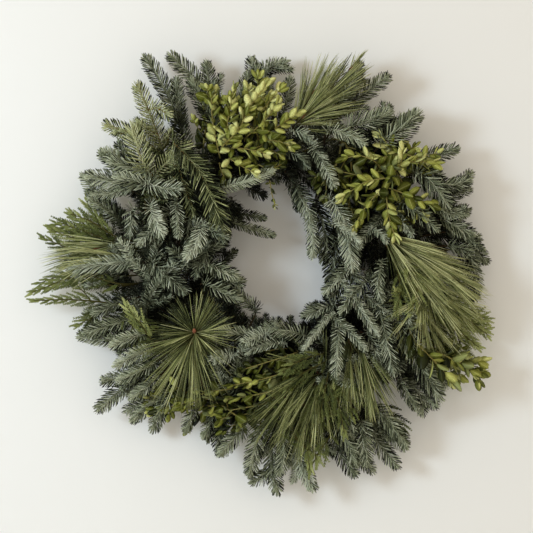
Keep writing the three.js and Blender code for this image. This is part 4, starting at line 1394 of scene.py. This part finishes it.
def spray_piece(name, kind, paths, seed):
    draw = np.random.default_rng(seed)
    piece = Piece()
    look = KINDS.get(kind)
    inner = name in INNER_NAMES
    tone = TONES[name] if name in TONES else look["tone"]
    tone = tone + draw.normal(0, 0.04)
    if kind == "pine":
        dress_pine_shoots(piece, name, paths[0], draw, tone)
        return piece
    if look and not inner:
        dress_companions(piece, name, draw, look, tone)
    dress_face_shoots(piece, name, kind, draw)
    for i, path in enumerate(paths):
        line, main = Line(path), i == 0
        if look:
            dress_fir_shoot(piece, line, draw, look, tone, main, inner)
        elif kind == "boxwood":
            dress_boxwood_shoot(piece, line, draw, tone, main)
        else:
            dress_cedar_shoot(piece, line, draw, tone, main)
    return piece


# Wires

WIRE = 0
RING_STEPS = 144
RAIL_SIDES = 12
ARCH_STEPS = 18
COIL_TURNS = 4
COIL_STEPS = 14
COIL_WIRE = 0.5
COIL_OUT = 0.55
WINDING_ROUNDING = 2.2
ROUNDING_STEPS = 4
BOX_PLACES = ((0.85, 0.1), (0.97, 0.1), (0.97, 0.9))
BOX_SIDES = ((0, 1, 3, 2), (4, 6, 7, 5), (0, 4, 5, 1), (2, 3, 7, 6), (0, 2, 6, 4), (1, 5, 7, 3))


def ring_points(radius, depth, steps):
    return np.array([outward(i * 360 / steps) * radius for i in range(steps + 1)]) + at(0, depth, 0)


def rounded(points, radius):
    """A path with its corners rounded."""
    made = [points[:1]]
    for before, corner, after in zip(points[:-2], points[1:-1], points[2:]):
        back = corner + unit(before - corner) * radius
        ahead = corner + unit(after - corner) * radius
        share = np.linspace(0, 1, ROUNDING_STEPS + 1)[:, None]
        curve = (1 - share) ** 2 * back + 2 * share * (1 - share) * corner + share * share * ahead
        made.append(curve)
    made.append(points[-1:])
    return np.vstack(made)


def box(piece, centre, right, up, out, half):
    spots = np.array(
        [
            centre + right * half[0] * x + up * half[1] * y + out * half[2] * z
            for x in (-1, 1)
            for y in (-1, 1)
            for z in (-1, 1)
        ]
    )
    faces = [half for a, b, c, d in BOX_SIDES for half in ((a, b, c), (a, c, d))]
    faces = np.array(faces)
    if inside_out(spots - centre, faces):
        faces = faces[:, ::-1]
    piece.add(spots, faces, np.tile(np.array(BOX_PLACES), (len(faces), 1, 1)), WIRE, False)


def frame_piece():
    """Two round rails and the flat ties between them."""
    piece = Piece()
    for radius in (INNER_RAIL, OUTER_RAIL):
        piece.tube(ring_points(radius, RAIL_DEPTH, RING_STEPS), RAIL_WIDTH / 2, RAIL_SIDES, WIRE)
    turns = binding_bearings()
    middle = (INNER_RAIL + OUTER_RAIL) / 2
    width, thickness = TIE_SIZE
    half = (width / 2, thickness / 2, (OUTER_RAIL - INNER_RAIL) / 2 + 1)
    for i in range(TIE_COUNT):
        turn = FEET_PER_TURN * i
        bearing = (turns[turn] + turns[turn + 1]) / 2
        out, along = outward(bearing), clockwise(bearing)
        box(piece, out * middle + at(0, thickness / 2, 0), along, at(0, 1, 0), out, half)
    return piece


def winding_piece():
    piece = Piece()
    piece.tube(rounded(binding_path(), WINDING_ROUNDING), BINDING_WIDTH / 2, 8, WIRE)
    return piece


def loop_piece():
    """An arch of wire, with each end coiled round the outer rail."""
    piece = Piece()
    foot = OUTER_RAIL - LOOP_HALF_SPAN * math.tan(math.pi / RAIL_STEPS)
    foot = foot + (RAIL_WIDTH / 2 + COLLAR_ROOM)
    arch = [at(-LOOP_HALF_SPAN, RAIL_DEPTH, foot)]
    for i in range(ARCH_STEPS + 1):
        angle = math.pi * (1 - i / ARCH_STEPS)
        top = OUTER_RAIL + LOOP_RISE - LOOP_HALF_SPAN * (1 - math.sin(angle))
        arch.append(at(LOOP_HALF_SPAN * math.cos(angle), RAIL_DEPTH, top))
    arch.append(at(LOOP_HALF_SPAN, RAIL_DEPTH, foot))
    piece.tube(np.array(arch), LOOP_WIRE / 2, 10, WIRE)
    radius = RAIL_WIDTH / 2 + COIL_OUT
    steps = COIL_TURNS * COIL_STEPS
    for side in (-1, 1):
        bearing = math.degrees(math.asin(LOOP_HALF_SPAN / OUTER_RAIL)) * side
        centre = outward(bearing) * OUTER_RAIL + at(0, RAIL_DEPTH, 0)
        coil = []
        for i in range(steps + 1):
            angle = i * 2 * math.pi / COIL_STEPS
            out = outward(bearing) * math.cos(angle) * radius
            up = at(0, math.sin(angle) * radius, 0)
            slide = (i / steps - 0.5) * COLLAR_LENGTH
            coil.append(centre + out + up + clockwise(bearing) * slide)
        piece.tube(np.array(coil), COIL_WIRE, 6, WIRE)
    return piece


# Materials. A colour is three screen values from 0 to 255 in the tables, and a ramp's grey is one
# number.


def srgb(red, green, blue):
    """A linear colour from screen values."""
    return tuple(
        c / 12.92 if c <= 0.04045 else ((c + 0.055) / 1.055) ** 2.4
        for c in (red / 255, green / 255, blue / 255)
    )


def opaque(colour):
    """A colour, or a grey given as one number, with its alpha."""
    red, green, blue = colour if isinstance(colour, tuple) else (colour, colour, colour)
    return red, green, blue, 1


class Graph:
    """A material's nodes, made one line at a time."""

    def __init__(self, name):
        self.material = bpy.data.materials.new(name)
        self.material.use_nodes = True
        self.tree = self.material.node_tree
        self.shader = self.tree.nodes["Principled BSDF"]

    def node(self, kind, inputs=(), **values):
        made = self.tree.nodes.new(kind)
        for key, value in values.items():
            setattr(made, key, value)
        for socket, value in dict(inputs).items():
            if isinstance(value, bpy.types.NodeSocket):
                self.tree.links.new(value, made.inputs[socket])
            else:
                made.inputs[socket].default_value = value
        return made

    def math(self, operation, first, second=0.0, third=0.0):
        inputs = {0: first, 1: second, 2: third}
        return self.node("ShaderNodeMath", inputs, operation=operation).outputs[0]

    def ramp(self, factor, stops):
        made = self.node("ShaderNodeValToRGB", {0: factor})
        elements = made.color_ramp.elements
        while len(elements) < len(stops):
            elements.new(0.5)
        for element, (place, colour) in zip(elements, stops):
            element.position = place
            element.color = opaque(colour)
        return made.outputs[0]

    def mix(self, factor, first, second, blend="MIX"):
        inputs = {0: factor}
        for socket, value in ((6, first), (7, second)):
            inputs[socket] = opaque(value) if isinstance(value, tuple) else value
        made = self.node("ShaderNodeMix", inputs, data_type="RGBA", blend_type=blend)
        return made.outputs[2]

    def noise(self, vector, scale, detail=3.0):
        inputs = {"Vector": vector, "Scale": scale, "Detail": detail}
        return self.node("ShaderNodeTexNoise", inputs).outputs[0]

    def map_place(self):
        return self.node("ShaderNodeUVMap", uv_map=MAP).outputs[0]

    def object_place(self):
        return self.node("ShaderNodeTexCoord").outputs["Object"]

    def stretched(self, place, stretch):
        inputs = {0: place, 1: stretch}
        return self.node("ShaderNodeVectorMath", inputs, operation="MULTIPLY").outputs[0]

    def finish(self, colour, roughness, bump, strength, distance, **values):
        link = self.tree.links.new
        link(colour, self.shader.inputs["Base Color"])
        link(roughness, self.shader.inputs["Roughness"])
        inputs = {"Strength": strength, "Distance": distance, "Height": bump}
        link(self.node("ShaderNodeBump", inputs).outputs[0], self.shader.inputs["Normal"])
        for key, value in values.items():
            self.shader.inputs[key.replace("_", " ")].default_value = value
        return self.material


# Where, across a needle or a leaf, its waxy bands or midrib are, from which tint on they show, and
# how far along it the colours of its root and tip reach. A needle's darker root colour is painted
# shade where needles crowd at the stem. Dark tints, from a needle's own tone and from painted
# shade, have no bands.
WAXY_BANDS = [(0.0, 0.1), (0.3, 1.0), (0.5, 0.0), (0.7, 1.0), (1.0, 0.1)]
MIDRIB = [(0.0, 0.0), (0.44, 0.0), (0.5, 1.0), (0.56, 0.0)]
WAXY_FROM = [(0.12, 0.0), (0.6, 1.0)]
NEEDLE_ROOT_SHADE = [(0.0, 0.9), (0.38, 0.0)]
TIP_FADE = [(0.86, 0.0), (1.0, 0.55)]
LEAF_ROOT_FADE = [(0.0, 0.6), (0.15, 0.0)]
LEAF_TIP_FADE = [(0.9, 0.0), (1.0, 0.3)]
MOTTLE_STRETCH = (60.0, 9.0, 1.0)
MOTTLE = [(0.3, 0.72), (0.7, 1.15)]
UNDERSIDE = (176, 184, 128)
UNDERSIDE_SHARE = 0.35


def foliage_material(name, tints, root, tip, band, band_share, roughness, leafy=False):
    """tints are the colours of the columns of the map, from dark to pale, and band is the colour
    of the waxy bands of a needle or the midrib of a leaf."""
    graph = Graph(name)
    place = graph.map_place()
    parts = graph.node("ShaderNodeSeparateXYZ", {0: place})
    column = graph.math("MULTIPLY", parts.outputs[0], TINTS / FOLIAGE_SHARE)
    tint = graph.math("DIVIDE", graph.math("FLOOR", column), TINTS - 1.0)
    across = graph.math("FRACT", column)
    along = parts.outputs[1]
    if leafy:
        under = graph.math("GREATER_THAN", along, 0.5)
        along = graph.math("PINGPONG", graph.math("MULTIPLY", along, 2.0), 1.0)
    colour = graph.ramp(tint, [(i / (len(tints) - 1), srgb(*c)) for i, c in enumerate(tints)])
    marks = graph.ramp(across, MIDRIB if leafy else WAXY_BANDS)
    waxy = graph.ramp(tint, WAXY_FROM)
    shown = graph.math("MULTIPLY", graph.math("MULTIPLY", marks, waxy), band_share)
    colour = graph.mix(shown, colour, srgb(*band))
    # A needle's root fades into its dark root colour, painted shade where needles crowd at the
    # stem; a leaf's root fades into the paler colour of its stalk.
    root_value = graph.ramp(along, LEAF_ROOT_FADE if leafy else NEEDLE_ROOT_SHADE)
    colour = graph.mix(root_value, colour, srgb(*root))
    tip_value = graph.ramp(along, LEAF_TIP_FADE if leafy else TIP_FADE)
    colour = graph.mix(graph.math("MULTIPLY", tip_value, waxy), colour, srgb(*tip))
    mottle = graph.noise(graph.stretched(place, MOTTLE_STRETCH), 2.0)
    colour = graph.mix(1.0, colour, graph.ramp(mottle, MOTTLE), "MULTIPLY")
    if leafy:
        under_value = graph.math("MULTIPLY", under, UNDERSIDE_SHARE)
        colour = graph.mix(under_value, colour, srgb(*UNDERSIDE))
    rough = graph.math("MULTIPLY_ADD", mottle, 0.25, roughness)
    bump = graph.math("ADD", marks, graph.math("MULTIPLY", mottle, 0.6))
    return graph.finish(
        colour, rough, bump, strength=0.25, distance=0.0004, Specular_IOR_Level=0.16
    )


BUD_COLOUR = (146, 92, 68)
GRAIN_STRETCH = (90.0, 30.0, 1.0)


def bark_material(name, dark, pale):
    graph = Graph(name)
    place = graph.map_place()
    grain = graph.noise(graph.stretched(place, GRAIN_STRETCH), 1.6, 5.0)
    colour = graph.ramp(grain, [(0.3, srgb(*dark)), (0.7, srgb(*pale))])
    map_x = graph.node("ShaderNodeSeparateXYZ", {0: place}).outputs[0]
    bud = graph.math("GREATER_THAN", map_x, (BARK_STRIP[1] + BUD_STRIP[0]) / 2)
    colour = graph.mix(bud, colour, srgb(*BUD_COLOUR))
    rough = graph.ramp(grain, [(0.2, 0.65), (0.8, 0.9)])
    return graph.finish(
        colour, rough, grain, strength=0.6, distance=0.0006, Specular_IOR_Level=0.15
    )


def wire_material(name, paint, bare, metallic):
    """Painted wire, worn through to bare metal in spots."""
    graph = Graph(name)
    wear = graph.noise(graph.object_place(), 240.0, 6.0)
    worn = graph.ramp(wear, [(0.56, 0.0), (0.64, 1.0)])
    colour = graph.mix(worn, srgb(*paint), srgb(*bare))
    rough = graph.ramp(wear, [(0.3, 0.35), (0.7, 0.6)])
    return graph.finish(colour, rough, wear, strength=0.2, distance=0.0002, Metallic=metallic)


# The name of each kind's foliage is that of its material and of its slot.
FOLIAGE_LOOKS = {
    # A needle kind's dark root colour is painted shade where needles crowd at the stem.
    "fir": {
        "name": "fir_needles",
        "tints": ((8, 10, 3), (30, 36, 18), (88, 97, 66), (156, 165, 130), (222, 227, 200)),
        "root": (18, 22, 8),
        "tip": (178, 188, 146),
        "band": (194, 199, 170),
        "band_share": 0.4,
        "roughness": 0.4,
    },
    "silver": {
        "name": "silver_fir_needles",
        "tints": ((9, 12, 4), (36, 43, 26), (98, 109, 82), (170, 181, 154), (232, 239, 218)),
        "root": (26, 32, 14),
        "tip": (196, 206, 170),
        "band": (194, 199, 170),
        "band_share": 0.45,
        "roughness": 0.4,
    },
    "green": {
        "name": "green_fir_needles",
        "tints": ((12, 16, 4), (44, 52, 22), (112, 121, 68), (174, 180, 118), (226, 229, 178)),
        "root": (36, 40, 10),
        "tip": (176, 184, 120),
        "band": (194, 199, 170),
        "band_share": 0.25,
        "roughness": 0.4,
    },
    "pine": {
        "name": "pine_needles",
        "tints": ((12, 16, 4), (46, 54, 21), (110, 118, 57), (174, 178, 108), (230, 230, 170)),
        "root": (60, 60, 16),
        "tip": (200, 194, 132),
        "band": (190, 200, 160),
        "band_share": 0.3,
        "roughness": 0.35,
    },
    "boxwood": {
        "name": "boxwood_leaves",
        "tints": ((12, 15, 3), (44, 50, 12), (104, 111, 38), (170, 174, 84), (224, 225, 150)),
        "root": (120, 124, 40),
        "tip": (176, 172, 86),
        "band": (206, 208, 140),
        "band_share": 0.5,
        "roughness": 0.28,
        "leafy": True,
    },
    "cedar": {
        "name": "cedar_scales",
        "tints": ((12, 16, 5), (42, 50, 22), (92, 102, 50), (144, 152, 90), (198, 203, 140)),
        "root": (60, 62, 18),
        "tip": (186, 190, 88),
        "band": (150, 160, 100),
        "band_share": 0.2,
        "roughness": 0.45,
    },
}
foliage = {kind: foliage_material(**look) for kind, look in FOLIAGE_LOOKS.items()}
barks = {
    "fir": bark_material("fir_bark", (38, 30, 18), (82, 66, 42)),
    "green": bark_material("green_fir_bark", (88, 62, 24), (160, 122, 60)),
    "pine": bark_material("pine_bark", (48, 34, 20), (84, 62, 40)),
    "boxwood": bark_material("boxwood_bark", (104, 100, 50), (168, 156, 94)),
    "cedar": bark_material("cedar_bark", (48, 46, 20), (88, 82, 38)),
}
barks["silver"] = barks["fir"]

# Pieces. Each rides on the one body and replaces the node that it is the finer form of.


def stand_in(piece, node):
    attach(piece, "root")
    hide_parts(node)


for seed, (name, (kind, paths)) in enumerate(skeleton().items()):
    spray = spray_piece(name, kind, paths, seed + 1)
    made = spray.make(f"{name}_foliage", [foliage[kind], barks[kind]])
    stand_in(made, name)

wire = wire_material("frame_wire", (52, 58, 50), (120, 112, 96), 0.8)
binding = wire_material("binding_wire", (58, 76, 52), (116, 120, 96), 0.6)
bright = wire_material("loop_wire", (92, 96, 84), (150, 146, 130), 0.9)
stand_in(frame_piece().make("wire_rails", [wire]), "wire_frame")
stand_in(winding_piece().make("binding_winding", [binding]), "binding_wire")
stand_in(loop_piece().make("loop_wire_round", [bright]), "hanging_loop")

# Wall, floor, light and camera

CENTRE = (-0.02, -0.06, -0.212)
WALL_COLOUR = srgb(235, 235, 233)
WALL_Y = 0.003
HALF_WIDTH = 3.0
FLOOR_Z = -1.5
CEILING_Z = 1.8
FLOOR_FRONT = -4.0


def backdrop(name, low_edge, high_edge):
    """A plain surface between two edges, each a y and a z, which is clear from behind."""
    mesh = bpy.data.meshes.new(name)
    corners = [(-HALF_WIDTH, *low_edge), (HALF_WIDTH, *low_edge)]
    corners += [(HALF_WIDTH, *high_edge), (-HALF_WIDTH, *high_edge)]
    mesh.from_pydata(corners, [], [(0, 1, 2, 3)])
    made = placed(name, mesh)
    graph = Graph(name)
    place = graph.object_place()
    cloud = graph.noise(place, 3.0, 4.0)
    tone = graph.ramp(cloud, [(0.3, tuple(c * 0.98 for c in WALL_COLOUR)), (0.7, WALL_COLOUR)])
    rough = graph.ramp(cloud, [(0.3, 0.85), (0.7, 0.95)])
    plaster = graph.noise(place, 300.0)
    material = graph.finish(tone, rough, plaster, strength=0.05, distance=0.0005)
    behind = graph.node("ShaderNodeNewGeometry").outputs["Backfacing"]
    clear = graph.node("ShaderNodeBsdfTransparent").outputs[0]
    both = graph.node("ShaderNodeMixShader", {0: behind, 1: graph.shader.outputs[0], 2: clear})
    output = graph.tree.nodes["Material Output"]
    graph.tree.links.new(both.outputs[0], output.inputs["Surface"])
    mesh.materials.append(material)


backdrop("wall", (WALL_Y, FLOOR_Z), (WALL_Y, CEILING_Z))
backdrop("floor", (FLOOR_FRONT, FLOOR_Z), (WALL_Y, FLOOR_Z))


def soft_light(name, place, size, power, colour):
    """A round light that looks at the wreath."""
    data = bpy.data.lights.new(name, "AREA")
    data.shape = "DISK"
    data.size = size
    data.energy = power
    data.color = colour
    made = placed(name, data)
    made.location = place
    made.rotation_mode = "QUATERNION"
    aim = Vector(np.subtract(CENTRE, place))
    made.rotation_quaternion = aim.to_track_quat("-Z", "Y")
    return made


BOUNCE_PLACE = (CENTRE[0], WALL_Y - 0.0005, CENTRE[2])
soft_light("key", (-1.5, -1.7, 0.1), 0.62, 23.5, (0.72, 0.87, 1.0))
soft_light("fill", (0.2, -2.8, 0.4), 2.2, 6, (1.0, 0.93, 0.84))
# What the wall sends back to the wreath's own back, which faces it closely.
bounce = soft_light("bounce", BOUNCE_PLACE, 0.8, 0.8, (1.0, 0.95, 0.88))
bounce.visible_camera = False

ROOM_LIGHT = (1.0, 0.905, 0.765, 1)
ROOM_STRENGTH = 0.75
world = bpy.data.worlds.new("studio")
world.use_nodes = True
background = world.node_tree.nodes["Background"]
background.inputs[0].default_value = ROOM_LIGHT
background.inputs[1].default_value = ROOM_STRENGTH
bpy.context.scene.world = world
bpy.context.scene.view_settings.view_transform = "Standard"

CAMERA_DISTANCE = 2.6
VIEW_WIDTH = 0.8
SENSOR = 36.0
WREATH_DEPTH = 0.06
data = bpy.data.cameras.new("camera")
data.sensor_width = SENSOR
data.lens = SENSOR * (CAMERA_DISTANCE - WREATH_DEPTH) / VIEW_WIDTH
camera = placed("camera", data)
camera.location = (CENTRE[0], -CAMERA_DISTANCE, CENTRE[2])
camera.rotation_euler = (math.pi / 2, 0, 0)
bpy.context.scene.camera = camera
